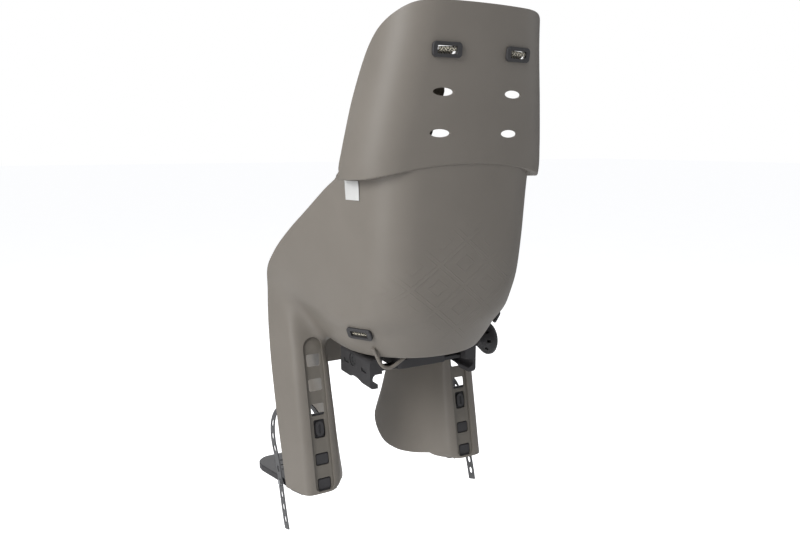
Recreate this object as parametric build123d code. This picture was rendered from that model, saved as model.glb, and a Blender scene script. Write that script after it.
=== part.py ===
from build123d import *
import math
import os

# A child seat for a bicycle's rear carrier: one moulded shell with head rest, arms and two leg
# guards, a five-strap harness, height-adjustable footrests with foot straps, and a carrier adapter
# whose two jaws are drawn together on the carrier's side rails by a spindle and a knob.
# Frame, in millimetres: X to the right seen from behind, Y forward, Z up. The origin lies midway
# between the jaws, in the plane where the adapter's cross bars rest on the rails.

# shell
wall = 3.6
back_radius = 550
floor_under = 35
floor_top = floor_under + wall
front_limit = 280
back_slope = 0.1276
back_y_at_ledge = -192.5
ledge_height = 347
ledge_drop = 22
ledge_half_width = 160
head_top = 568
head_flare = 4
head_corner = 75

# half width of the head rest at y = 0; it closes in under the rim of the ledge
head_levels = [
    (300, 172),
    (336, 179.4),
    (370, 176.2),
    (437, 165.6),
    (523, 150.7),
    (580, 144),
]

# plan sections of the seat bucket: height, back, corner radius, side flare, half width at y = 0
bucket_levels = [
    (floor_under, -119, 118, 0, 122),
    (55, -131, 136, 0, 140),
    (82, -146, 144, 2, 153),
    (122, -162, 100, 14, 165),
    (165, -169.5, 76, 16, 173.5),
    (225, -177.5, 75, 17, 180),
    (300, -185.2, 75, 17, 182.5),
    (356, -192, 75, 17, 184.6),
]

# front edge of the shell, seen from the side, from the crown down to the foot of the leg guards
head_edge = [(-236, 570), (-205, 566), (-181, 554), (-149, 531), (-128, 505), (-103, 440), (-93, 385),
             (-92, 340)]
arm_edge = [(-92, 340), (-77, 325), (-40, 302), (6, 268), (53, 234), (102, 195), (136, 156), (150, 100),
            (143, 26), (122, -80), (85, -231)]

# leg guards
leg_inside = 120
leg_outside = 185
leg_bottom = -231
leg_top = 172
arm_outside = 203
arm_start = 60
arm_corner = 40
leg_rear_at_zero = 76
leg_slant = 0.196
outer_flare = 20
arm_flare = 17
wheel_side = 60
wheel_level = -212
wheel_slant = 0.185
panel_front = 256
panel_low = -247
nose_front = 168
nose_web_bottom = -38
leg_corner = 18
leg_inner_corner = 9

# height channel in the back of each leg guard
channel_x = 150
channel_width = 36
channel_depth = 3
channel_top = 39
channel_pad = 3.4
hole_width = 25.5
hole_height = 21.9
hole_corner = 3.5
hole_pitch = 43.2
first_hole = -2
hole_count = 6
latch_hole = 3
latch_opening_height = 33

# harness
slot_x = 61
slot_heights = (391, 448, 504)
slot_width = 32.6
slot_height = 11.3
webbing_width = 25
webbing_thick = 1.6
anchor_length = 45.5
anchor_height = 21
anchor_thick = 4
anchor_slot = 30
anchor_slot_height = 8
lower_anchor = (132, -75.2, 80)
lower_normal = (0.77, -0.46, -0.44)
crotch_y = 95
crotch_slot_width = 34
crotch_slot_height = 7
seat_gap = 0.3

# cushions
cushion_thick = 13
back_cushion_top = 345
back_cushion_bottom = 66
back_cushion_half_width = 86
seat_cushion_rear = -100
seat_cushion_front = 158
seat_cushion_half_width = 100
seat_cushion_nose = 80

# carrier adapter
rail_radius = 7
rail_gap = 0.3
rail_x = 93.7
notch_half_angle = 30
jaw_outer = 106
jaw_inner = 83
jaw_tip = 91
jaw_top = 26
jaw_bottom = -24
jaw_half_length = 57
jaw_travel = 30
spindle_y = 9
spindle_z = 11
spindle_radius = 5
spindle_end = 165
running = 0.05
slide_gap = 0.3
housing_half_width = 48
housing_half_length = 50
housing_bottom = 0
plate_thick = 3
plate_half_width = 62
plate_half_length = 68
housing_top = floor_under - plate_thick
bar_width = 18
bar_thick = 6
bar_y = 34
bar_half_length = 104
screw_x = 36
screw_y = (-38, 38)
screw_radius = 3
screw_low = 13
screw_head_radius = 6.5
screw_head_height = 2.2
washer_radius = 8.5
washer_thick = 1
nut_across = 10
nut_thick = 5
nut_low = 15
knob_outer_x = 182
knob_inner_x = 151
knob_radius = 31
knob_neck = 12
knob_rim = 8
knob_slots = 8
nut_radius = 9.5
nut_length = 14
recess_radius = 12
recess_depth = 2
clip_radius = 8.5
clip_thick = 2

# footrests
footrest_top = -229
footrest_bottom = -243
footrest_front = 222
footrest_outer = 216
footrest_inner_gap = 4
upright_thick = 6
upright_top = -96
upright_half_width = 24
upright_gap = 0.3
latch_width = 19
latch_height = 30
latch_travel = 4
latch_pocket = 9
latch_z = -122

# foot straps: each stands as a loop over the shoe and hangs down outside the footrest
strap_origin = (128, -192)
strap_tilt = 19
strap_width = 21
strap_thick = 2
strap_hole = 10.4
strap_hole_length = 13
strap_line_x = 204.6
strap_path = [(110.2, 46), (109.2, 0), (112, -50), (130, -84), (158, -96), (182, -92), (197, -79),
              (205.5, -55), (207.2, -24), (205.4, 0), (strap_line_x, 40), (204.2, 130)]
strap_hole_steps = (-62, -39, -16, 22, 46, 68, 90, 112)
stud_step = 46
stud_neck = 3.6
stud_head = 6

# buckle in the middle of the harness
buckle_origin = (0, -28, 108)
buckle_lean = (0, 0.835, 0.55)
buckle_width = 60
buckle_length = 46
buckle_thick = 18
tongue_x = 17
tongue_width = 16
tongue_thick = 3
tongue_level = -3.5
tongue_head_width = 32
tongue_head = 36
button_size = 22
button_thick = 6
button_travel = 3

# shoulder strap, seen from the side: y and z of the bends from the slot down to the tongue
shoulder_line = [(-211, 507.9), (-203.5, 500.2), (-176, 488), (-150, 448), (-100, 380), (-72, 290),
                 (-52, 165), (-46.7, 143.6), (-54.2, 138.65)]
pad_line = [(-156.5, 458), (-150, 448), (-100, 380), (-77.6, 308)]
adjuster_line = [(-65, 246.25), (-61.4, 223.75)]
pad_width = 56
pad_thick = 11

# label on the left side, under the ledge
label_place = (-154.85, -93.65, 313.5)
label_normal = (-0.955, -0.29, -0.05)
label_size = 21
label_thick = 0.8

os.makedirs("parts", exist_ok=True)
made = {}


def save(name, shape):
    print(name, flush=True)
    made[name] = shape
    export_step(shape, os.path.join("parts", name + ".step"))


def flip(shape):
    return mirror(shape, about=Plane.YZ)


def both(name, shape):
    # the shape is modelled on the right, at positive X
    save(name + "_right", shape)
    save(name + "_left", flip(shape))


def leg_rear(z):
    # outer face of the leg guard's rear wall at a height
    return leg_rear_at_zero + leg_slant * z


def back_line(z):
    # outer face of the back on the centre line, above the ledge
    return back_y_at_ledge - back_slope * (z - ledge_height)


def wall_section(z, back_y, corner, flare, half_width, inset=0):
    # plan outline: shallow back arc, corner arcs and straight flared sides, open end at the front
    angle = math.radians(flare)
    radius = back_radius - inset
    corner = corner - inset
    side_x = half_width - inset / math.cos(angle)
    centre_y = back_y + inset + radius
    base_x = side_x - corner * math.cos(angle)
    base_y = corner * math.sin(angle) - centre_y
    run_x = math.sin(angle)
    run_y = math.cos(angle)
    half_b = base_x * run_x + base_y * run_y
    rest = base_x ** 2 + base_y ** 2 - (radius - corner) ** 2
    step = -half_b - math.sqrt(half_b ** 2 - rest)
    cx = base_x + step * run_x
    cy = base_y + step * run_y + centre_y
    reach = radius / (radius - corner)
    ax = cx * reach
    ay = centre_y + (cy - centre_y) * reach
    bx = cx + corner * math.cos(angle)
    by = cy - corner * math.sin(angle)
    mx = (ax + bx) / 2 - cx
    my = (ay + by) / 2 - cy
    scale = corner / math.hypot(mx, my)
    mx = cx + mx * scale
    my = cy + my * scale
    end_x = side_x + math.tan(angle) * front_limit
    outline = [
        ThreePointArc((-ax, ay), (0, back_y + inset), (ax, ay)),
        ThreePointArc((ax, ay), (mx, my), (bx, by)),
        Line((bx, by), (end_x, front_limit)),
        Line((end_x, front_limit), (-end_x, front_limit)),
        Line((-end_x, front_limit), (-bx, by)),
        ThreePointArc((-bx, by), (-mx, my), (-ax, ay)),
    ]
    return Plane.XY.offset(z) * make_face(outline)


def bucket_values(z):
    # section values between two listed levels
    for low, high in zip(bucket_levels, bucket_levels[1:]):
        if z <= high[0]:
            share = (z - low[0]) / (high[0] - low[0])
            return [a + (b - a) * share for a, b in zip(low, high)]
    return list(bucket_levels[-1])


def bucket_body(inset, bottom):
    heights = [bottom] + [level[0] for level in bucket_levels if level[0] > bottom + 6]
    sections = []
    for z in heights:
        values = bucket_values(z)
        sections.append(wall_section(z, *values[1:], inset))
    return loft(sections)


def head_body(inset):
    sections = []
    for z, half in head_levels:
        sections.append(wall_section(z, back_line(z), head_corner, head_flare, half, inset))
    return loft(sections)


def above_ledge(lift):
    # everything over the ledge line, which drops from the centre to the sides
    low = ledge_height - ledge_drop + lift
    arc = ThreePointArc((-ledge_half_width, low), (0, ledge_height + lift), (ledge_half_width, low))
    side_drop = 14
    outline = [
        arc,
        Line((ledge_half_width, low), (front_limit, low - side_drop)),
        Line((front_limit, low - side_drop), (front_limit, head_top + 60)),
        Line((front_limit, head_top + 60), (-front_limit, head_top + 60)),
        Line((-front_limit, head_top + 60), (-front_limit, low - side_drop)),
        Line((-front_limit, low - side_drop), (-ledge_half_width, low)),
    ]
    return extrude(Plane.XZ * make_face(outline), 2 * front_limit, both=True)


def seat_body(inset, bottom):
    # bucket below the ledge, head rest above it
    upper = above_ledge(inset)
    lower = bucket_body(inset, bottom) - upper
    return lower + (head_body(inset) & upper)


def panel_edge(z):
    # outer face of a wheel-side panel at its front edge; the panels stand wider apart at the top
    return wheel_side + wheel_slant * (min(z, arm_start) - wheel_level)


def leg_section(z, inset):
    # right leg guard: rear wall, outer wall flaring out, wheel-side panel curving in
    rise = max(0, (z - arm_start) / (leg_top - arm_start))
    rear = leg_rear(z) + inset
    angle = math.radians(outer_flare + (arm_flare - outer_flare) * rise)
    side = leg_outside + (arm_outside - leg_outside) * rise ** 2
    bend_radius = leg_corner + (arm_corner - leg_corner) * rise - inset
    inner = leg_inside + 0.66 * inset
    outer = side - inset * (1 / math.cos(angle) - math.tan(angle))
    end = panel_edge(z) + inset
    out_x = outer + (front_limit - rear) * math.tan(angle)
    inner_round = leg_inner_corner - inset
    # the rear outer corner is an arc tangent to both walls
    turn = math.pi / 2 - angle
    back = bend_radius * math.tan(turn / 2)
    arc_end = (outer + back * math.sin(angle), rear + back * math.cos(angle))
    arc_centre = (outer - back, rear + bend_radius)
    arc_mid = (arc_centre[0] + bend_radius * math.sin(turn / 2),
               arc_centre[1] - bend_radius * math.cos(turn / 2))
    control = (end, (rear + panel_front) / 2)
    slope = math.atan2(control[1] - rear, control[0] - inner)
    inner_back = inner_round * math.tan((math.pi - slope) / 2)
    start = (inner + inner_back, rear)
    touch = (inner + inner_back * math.cos(slope), rear + inner_back * math.sin(slope))
    outline = [
        Line(start, (outer - back, rear)),
        ThreePointArc((outer - back, rear), arc_mid, arc_end),
        Line(arc_end, (out_x, front_limit)),
        Line((out_x, front_limit), (end, front_limit)),
        Line((end, front_limit), (end, panel_front)),
        Bezier((end, panel_front), control, touch),
        TangentArc(start, touch, tangent=(-1, 0)),
    ]
    return Plane.XY.offset(z) * make_face(outline)


def leg_body(inset, low, high):
    straight = loft([leg_section(low, inset), leg_section(arm_start, inset)], ruled=True)
    middle = (arm_start + high) / 2
    upper = [leg_section(arm_start, inset), leg_section(middle, inset), leg_section(high, inset)]
    return straight + loft(upper)


def front_cut():
    # what lies in front of the shell's side edge, kept clear of the nose and the wheel-side panels
    head = Spline(*head_edge)
    arm = Spline(*arm_edge)
    top_y, top_z = head_edge[0]
    low_y, low_z = arm_edge[-1]
    far = front_limit + 60
    outline = [
        head,
        arm,
        Line((low_y, low_z), (low_y - 9, low_z - 40)),
        Line((low_y - 9, low_z - 40), (far, low_z - 40)),
        Line((far, low_z - 40), (far, top_z + 60)),
        Line((far, top_z + 60), (top_y - 60, top_z + 60)),
        Line((top_y - 60, top_z + 60), (top_y - 60, top_z)),
        Line((top_y - 60, top_z), (top_y, top_z)),
    ]
    cut = extrude(Plane.YZ * make_face(outline), 2 * front_limit, both=True)
    keep = Pos(0, 0, -100) * Box(2 * leg_inside + 4, 1000, 2 * 220)
    return cut - keep


def panel_profile():
    # side outline of a wheel-side panel, with its rounded front and lower lobe
    rear = -40
    outline = [
        Line((rear, floor_top), (nose_front, floor_top)),
        Spline((nose_front, floor_top), (205, 15), (238, -50), (panel_front, -130),
               (panel_front - 3, -205), (210, -240), (165, panel_low), (118, -241), (80, leg_bottom)),
        Line((80, leg_bottom), (rear, leg_bottom)),
        Line((rear, leg_bottom), (rear, floor_top)),
    ]
    return Plane.YZ * make_face(outline)


def rear_plane(z):
    # plane on the outer face of the right leg guard's rear wall, facing backwards
    tilt = math.atan(leg_slant)
    return Plane(origin=(channel_x, leg_rear(z), z), x_dir=(1, 0, 0),
                 z_dir=(0, -math.cos(tilt), math.sin(tilt)))


def channel_outline(width, top):
    half = width / 2
    straight = top - half
    outline = [
        Line((-half, leg_bottom - 10), (half, leg_bottom - 10)),
        Line((half, leg_bottom - 10), (half, straight)),
        ThreePointArc((half, straight), (0, top), (-half, straight)),
        Line((-half, straight), (-half, leg_bottom - 10)),
    ]
    return make_face(outline)


def hole_z(index):
    return first_hole - hole_pitch * index


def make_shell():
    legs_out = leg_body(0, panel_low - 6, leg_top)
    legs_in = leg_body(wall, panel_low - 16, leg_top - 12)
    outer = seat_body(0, floor_under)
    outer = outer + legs_out + flip(legs_out)
    inner = seat_body(wall, floor_top)
    inner = inner + legs_in + flip(legs_in)
    shell = outer - inner
    shell -= front_cut()
    # trim the wheel-side panels and close the nose between them
    middle = Box(2 * leg_inside + 4, 700, 2 * 330)
    centre = Pos(0, 0, floor_top - 330) * middle
    keep = extrude(panel_profile(), leg_inside + 2, both=True)
    shell -= centre - keep - Pos(0, leg_rear(leg_bottom) - 350, 0) * Box(900, 700, 900)
    foot = Pos(0, 100, leg_bottom - 100) * Box(900, 700, 200)
    shell -= foot - Pos(0, 0, leg_bottom) * Box(2 * leg_inside + 4, 900, 400)
    shell += nose_web()
    shell += loop_bar()
    for side in (1, -1):
        shell += channel_backing(side)
        shell -= channel_cuts(side)
    shell -= harness_cuts()
    # trimming leaves two slivers beside the leg guards
    return shell.solids().sort_by(SortBy.VOLUME)[-1]


def nose_half(z):
    # half width of the nose between the wheel-side panels
    rear = leg_rear(z)
    share = (panel_front - nose_front) / (panel_front - rear)
    edge = panel_edge(z)
    return edge + (leg_inside - edge) * share ** 2 + wall / 2


def nose_web():
    # closes the front of the nose between the two wheel-side panels
    high = nose_half(floor_top)
    low = nose_half(nose_web_bottom)
    outline = Polygon((-high, floor_top), (high, floor_top), (low, nose_web_bottom), (-low, nose_web_bottom),
                      align=None)
    return Pos(0, nose_front, 0) * extrude(Plane.XZ * outline, wall)


def loop_bar():
    # small moulded loop under the left rear of the bucket, for a safety strap
    path = [(-112, -80, 54), (-90, -80, 8), (-44, -80, 36)]
    radius = 3
    line = FilletPolyline(*path, radius=7)
    return sweep(Plane(origin=path[0], z_dir=line % 0) * Circle(radius), path=line)


def channel_backing(side):
    # thicker strip inside the rear wall that carries the channel
    plane = rear_plane(0)
    pad = extrude(plane * channel_outline(channel_width + 9, channel_top + 6), -(wall + channel_pad))
    pad -= Pos(0, 0, leg_bottom - 150) * Box(900, 900, 300)
    return pad if side > 0 else flip(pad)


def channel_cuts(side):
    plane = rear_plane(0)
    cut = extrude(plane * channel_outline(channel_width, channel_top), 20)
    cut += extrude(plane * channel_outline(channel_width, channel_top), -channel_depth)
    stretch = 1 / math.cos(math.atan(leg_slant))
    for index in range(hole_count):
        height = latch_opening_height if index == latch_hole else hole_height
        width = latch_width + 2 if index == latch_hole else hole_width
        z = latch_z if index == latch_hole else hole_z(index)
        hole = RectangleRounded(width, height * stretch, hole_corner)
        cut += extrude(plane * (Pos(0, z * stretch) * hole), 20, both=True)
    return cut if side > 0 else flip(cut)


def harness_cuts():
    slot = SlotOverall(crotch_slot_width, crotch_slot_height)
    cut = Pos(0, crotch_y, floor_top) * extrude(slot, 10, both=True)
    for x in (slot_x, -slot_x):
        for z in slot_heights:
            shape = Ellipse(slot_width / 2, slot_height / 2)
            if z == slot_heights[2]:
                shape = SlotOverall(slot_width, slot_height)
            slot = Plane.XZ.offset(-back_line(z)) * shape
            cut += Pos(x, 0, z) * extrude(slot, 25, both=True)
    for x in (screw_x, -screw_x):
        for y in screw_y:
            cut += Pos(x, y, floor_under) * Cylinder(screw_radius + slide_gap, 30)
    lap = extrude(lower_plane() * SlotOverall(anchor_slot, anchor_slot_height), 14, both=True)
    cut += lap + flip(lap)
    return cut


def lower_plane():
    # plane of a lap anchor on the right, facing out and back
    normal = Vector(*lower_normal).normalized()
    along = Vector(-lower_normal[1], lower_normal[0], 0)
    return Plane(origin=lower_anchor, x_dir=along, z_dir=normal)


def upper_plane():
    # plane of a shoulder anchor on the right, on the outer face of the back
    z = slot_heights[2]
    tilt = math.atan(back_slope)
    turn = slot_x / back_radius
    normal = Vector(math.sin(turn), -math.cos(turn) * math.cos(tilt), -math.sin(tilt))
    y = back_line(z) + slot_x ** 2 / (2 * back_radius)
    return Plane(origin=(slot_x, y, z), x_dir=(math.cos(turn), math.sin(turn), 0), z_dir=normal)


def anchor_plate(plane, lift):
    plate = extrude(plane * RectangleRounded(anchor_length, anchor_height, 6), anchor_thick)
    plate = chamfer(plate.faces().sort_by(Axis(plane.origin, plane.z_dir))[-1].edges(), 0.8)
    plate -= extrude(plane * RectangleRounded(anchor_slot + 1, anchor_slot_height + 3, 2), 20, both=True)
    return Pos(*(plane.z_dir * lift)) * plate


def ribbon(points, first_wide, last_wide, width, thick):
    # flat strap through a line of points, its width turning from one direction to another
    line = [Vector(*point) for point in points]
    count = len(line)
    sections = []
    for index, point in enumerate(line):
        before = line[max(index - 1, 0)]
        after = line[min(index + 1, count - 1)]
        ahead = (after - before).normalized()
        share = index / (count - 1)
        wide = Vector(*first_wide) * (1 - share) + Vector(*last_wide) * share
        wide = (wide - ahead * wide.dot(ahead)).normalized()
        sections.append(Plane(origin=point, x_dir=wide, z_dir=ahead) * Rectangle(width, thick))
    return loft(sections, ruled=True)


def shoulder_plane():
    # leaning plane in which a shoulder strap runs from its slot to the buckle
    top = slot_heights[2]
    low = shoulder_line[-1][1]
    run = Vector(tongue_x - slot_x, 0, low - top).normalized()
    return Plane(origin=(slot_x, 0, top), x_dir=(0, 1, 0), z_dir=(-run.Z, 0, run.X))


def on_shoulder(line):
    top = slot_heights[2]
    low = shoulder_line[-1][1]
    stretch = math.hypot(tongue_x - slot_x, low - top) / (top - low)
    return [(y, (z - top) * stretch) for y, z in line]


def band(line, thick, width, radius):
    # a strip of given thickness along bends in the shoulder plane
    points = on_shoulder(line)
    path = FilletPolyline(*points, radius=radius) if len(points) > 2 else Line(*points)
    return extrude(shoulder_plane() * trace(path, thick), width / 2, both=True)


def make_pad():
    pad = band(pad_line, pad_thick, pad_width, 20)
    return pad - band(pad_line, webbing_thick + 1, webbing_width + 2, 20)


def make_adjuster():
    body = band(adjuster_line, 5, 34, 1)
    return body - band(adjuster_line, webbing_thick + 0.6, webbing_width + 1.4, 1)


def make_lap_strap():
    plane = lower_plane()
    normal = plane.z_dir
    place = plane.origin
    points = [tuple(place + normal * 3), tuple(place - normal * 8), (108, -68, 74), (86, -64, 72),
              (62, -60, 78), (40, -58, 95), (24, -58, 120), (17, -55.4, 133.3), (17, -50, 136.8)]
    return ribbon(points, tuple(plane.x_dir), (1, 0, 0), webbing_width, webbing_thick)


def make_crotch_strap():
    # from its anchor under the floor, over the front of the cushion, into the buckle
    points = [(crotch_y, floor_under - 1), (crotch_y, 58), (84, 68), (44, 70), (1.8, 62.9), (-20.2, 96.3)]
    path = FilletPolyline(*points, radius=6)
    return extrude(Plane.YZ * trace(path, webbing_thick), webbing_width / 2, both=True)


def buckle_plane():
    return Plane(origin=buckle_origin, x_dir=(1, 0, 0), z_dir=buckle_lean)


def make_buckle():
    body = Box(buckle_width, buckle_length, buckle_thick)
    body = fillet(body.edges().filter_by(Axis.Z), 9)
    body = fillet(body.faces().sort_by(Axis.Z)[-1].edges(), 2.5)
    pocket = button_size + 2 * slide_gap
    face = buckle_thick / 2
    floor = face - button_thick - button_travel + 0.5
    body -= Pos(0, -3, floor) * extrude(RectangleRounded(pocket, pocket, 4 + slide_gap), 20)
    for x in (tongue_x, -tongue_x):
        hollow = Box(tongue_width + 1, 20, tongue_thick + 0.6)
        body -= Pos(x, -buckle_length / 2 + 9, tongue_level) * hollow
    body -= Pos(0, buckle_length / 2 - 4, 0) * Box(webbing_width + 1, 14, webbing_thick + 0.8)
    return buckle_plane() * body


def make_button():
    face = buckle_thick / 2
    low = face - button_thick + 1.5
    button = Pos(0, -3, low) * extrude(RectangleRounded(button_size, button_size, 4), button_thick)
    return buckle_plane() * chamfer(button.faces().sort_by(Axis.Z)[-1].edges(), 1)


def make_tongue():
    start = -buckle_length / 2
    blade = Pos(0, start + 4, 0) * Box(tongue_width, 26, tongue_thick)
    head = Pos(0, start - 15, 0) * Box(tongue_head_width, 17, tongue_thick)
    head = fillet(head.edges().filter_by(Axis.Z), 4)
    tongue = blade + head
    tongue -= Pos(0, start - 15, 0) * Box(webbing_width + 1, 9, 20)
    return buckle_plane() * (Pos(tongue_x, 0, tongue_level) * tongue)


def cushion_body():
    half = seat_cushion_half_width
    points = [(66, seat_cushion_rear + 18), (half, -36), (half - 2, 50), (94, 118),
              (seat_cushion_nose, seat_cushion_front - 8)]
    ends = [(0, seat_cushion_rear), (0, seat_cushion_front)]
    right = Spline(ends[0], *points, ends[1], tangents=[(1, 0), (-1, 0)])
    half_body = extrude(make_face([right, Line(ends[1], ends[0])]), cushion_thick)
    body = half_body + flip(half_body)
    low = floor_top + seat_gap
    body = Pos(0, 0, low) * body
    body -= Pos(0, crotch_y, low) * extrude(SlotOverall(webbing_width + 12, 10), 40, both=True)
    for x in (screw_x, -screw_x):
        for y in screw_y:
            body -= Pos(x, y, low) * Cylinder(washer_radius + 1.5, 8)
    return body


def back_cushion_body():
    near = wall + seat_gap
    height = back_cushion_top - back_cushion_bottom
    place = Pos(0, -150, (back_cushion_top + back_cushion_bottom) / 2)
    body = bucket_body(near, floor_under + near) & place * Box(2 * back_cushion_half_width, 160, height)
    return body - bucket_body(near + cushion_thick, floor_under)


def across(x, y, z):
    # plane facing along X at a point
    return Plane(origin=(x, y, z), x_dir=(0, 1, 0), z_dir=(1, 0, 0))


def rod(low_x, high_x, radius, y=spindle_y, z=spindle_z):
    return extrude(across(low_x, y, z) * Circle(radius), high_x - low_x)


def make_housing():
    height = housing_top - housing_bottom
    body = Box(2 * housing_half_width, 2 * housing_half_length, height)
    body = fillet(body.edges().filter_by(Axis.Z), 8)
    body = Pos(0, 0, (housing_top + housing_bottom) / 2) * body
    for y in (bar_y, -bar_y):
        body -= Pos(0, y, bar_thick / 2) * Box(200, bar_width, bar_thick)
    body -= rod(-100, 100, spindle_radius + running)
    for x in (screw_x, -screw_x):
        for y in screw_y:
            hole = Cylinder(screw_radius + slide_gap, housing_top - screw_low + 4)
            body -= Pos(x, y, (housing_top + screw_low) / 2) * hole
            side = 1 if y > 0 else -1
            pocket = Box(nut_across + 2 * slide_gap, 40, nut_thick)
            shift = y + side * (20 - nut_across / 2 - 1)
            body -= Pos(x, shift, nut_low + nut_thick / 2) * pocket
    return body


def make_bar(side):
    bar = Box(2 * bar_half_length, bar_width, bar_thick)
    bar = chamfer(bar.edges().filter_by(Axis.Y), 1)
    return Pos(0, side * bar_y, bar_thick / 2) * bar


def make_jaw():
    centre_z = -rail_gap - rail_radius
    height = jaw_top - jaw_bottom
    middle = (jaw_top + jaw_bottom) / 2
    body = Box(jaw_outer - jaw_inner, 2 * jaw_half_length, height)
    body = fillet(body.edges().filter_by(Axis.Y).sort_by(Axis.X)[-2:], 6)
    body = Pos((jaw_outer + jaw_inner) / 2, 0, middle) * body
    body -= Pos(jaw_tip - 50, 0, -50) * Box(100, 200, 100)
    # a round notch that opens inwards as a V, for the carrier's side rail
    angle = math.radians(notch_half_angle)
    touch_x = rail_x + rail_radius * math.sin(angle)
    touch_z = rail_radius * math.cos(angle)
    far_x = touch_x - 30
    far_z = touch_z + 30 * math.tan(angle)
    vee = Polygon((touch_x, touch_z), (far_x, far_z), (far_x, -far_z), (touch_x, -touch_z), align=None)
    notch = Pos(0, 0, centre_z) * extrude(Plane.XZ * (vee + Pos(rail_x, 0) * Circle(rail_radius)), 200, both=True)
    notch &= Pos(0, 0, -50) * Box(400, 400, 100)
    body -= notch
    # windows for the cross bars, and the seat of the spindle nut
    for y in (bar_y, -bar_y):
        window = Box(80, bar_width + 2 * slide_gap, bar_thick + 2 * slide_gap)
        body -= Pos(rail_x, y, bar_thick / 2) * window
    body -= rod(jaw_inner - 5, jaw_outer + 5, spindle_radius + 2 * slide_gap)
    body -= rod(jaw_outer - 1 - nut_length, jaw_outer + 5, nut_radius + 0.02)
    body -= rod(jaw_outer - recess_depth, jaw_outer + 5, recess_radius)
    # the middle of the lower edge is cut back between two lobes
    body -= Pos(jaw_outer, 0, jaw_bottom) * extrude(Plane.YZ * Ellipse(26, 7), 60, both=True)
    return body


def make_nut():
    start = jaw_outer - 1 - nut_length
    return rod(start, start + nut_length, nut_radius) - rod(start - 5, start + 30, spindle_radius + running)


def make_clips():
    clips = []
    for side in (1, -1):
        near = side * (housing_half_width + slide_gap)
        low = min(near, near + side * clip_thick)
        ring = rod(low, low + clip_thick, clip_radius) - rod(-100, 100, spindle_radius)
        clips.append(ring)
    return clips[0] + clips[1]


def make_knob():
    neck = knob_neck
    rim_x = knob_outer_x - knob_rim
    outline = [
        Line((knob_inner_x, 0), (knob_inner_x, neck)),
        Line((knob_inner_x, neck), (knob_inner_x + 4, neck)),
        Line((knob_inner_x + 4, neck), (rim_x, knob_radius - 1)),
        Line((rim_x, knob_radius - 1), (rim_x + 2, knob_radius)),
        Line((rim_x + 2, knob_radius), (knob_outer_x - 1.5, knob_radius)),
        Line((knob_outer_x - 1.5, knob_radius), (knob_outer_x, knob_radius - 1.5)),
        Line((knob_outer_x, knob_radius - 1.5), (knob_outer_x, knob_radius - 4)),
        Line((knob_outer_x, knob_radius - 4), (knob_outer_x - 3, knob_radius - 8)),
        Line((knob_outer_x - 3, knob_radius - 8), (knob_outer_x - 3, 0)),
        Line((knob_outer_x - 3, 0), (knob_inner_x, 0)),
    ]
    knob = Pos(0, spindle_y, spindle_z) * revolve(make_face(outline), Axis.X)
    centre = Pos(0, spindle_y, spindle_z)
    for index in range(knob_slots):
        groove = Pos(rim_x - 6, 0, 21) * Rot(0, 47, 0) * Box(19, 5, 7)
        knob -= centre * Rot(360 * index / knob_slots, 0, 0) * groove
    knob -= rod(knob_inner_x - 5, spindle_end, spindle_radius + 0.02)
    knob -= rod(spindle_end - 1, knob_outer_x + 5, screw_radius + 0.1)
    knob -= rod(knob_outer_x - 6, knob_outer_x + 5, screw_head_radius + 0.3)
    return knob


def make_spindle():
    spindle = rod(-bar_half_length, spindle_end, spindle_radius)
    spindle -= rod(spindle_end - 12, spindle_end + 5, screw_radius + 0.02)
    return spindle


def make_knob_bolt():
    seat = knob_outer_x - 6
    return rod(spindle_end - 11, seat + 1, screw_radius) + rod(seat, seat + 3, screw_head_radius)


def make_screws():
    screws = []
    washers = []
    nuts = []
    top = floor_top + washer_thick
    for x in (screw_x, -screw_x):
        for y in screw_y:
            shank = Pos(x, y, (top + screw_low) / 2) * Cylinder(screw_radius, top - screw_low)
            head = Pos(x, y, top + screw_head_height / 2) * Cylinder(screw_head_radius, screw_head_height)
            socket = RegularPolygon(2.3, 6)
            head -= Pos(x, y, top + 0.8) * extrude(socket, 5)
            screws.append(shank + head)
            ring = Cylinder(washer_radius, washer_thick) - Cylinder(screw_radius + slide_gap, 9)
            washers.append(Pos(x, y, floor_top + washer_thick / 2) * ring)
            nut = extrude(RegularPolygon(nut_across / 2, 6, major_radius=False, rotation=30), nut_thick)
            nut -= Cylinder(screw_radius + 0.02, 30)
            nuts.append(Pos(x, y, nut_low) * nut)
    return Compound(children=screws), Compound(children=washers), Compound(children=nuts)


def make_plate():
    plate = Box(2 * plate_half_width, 2 * plate_half_length, plate_thick)
    plate = fillet(plate.edges().filter_by(Axis.Z), 12)
    plate = Pos(0, 0, housing_top + plate_thick / 2) * plate
    for x in (screw_x, -screw_x):
        for y in screw_y:
            plate -= Pos(x, y, housing_top) * Cylinder(screw_radius + slide_gap, 30)
    return plate


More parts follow.
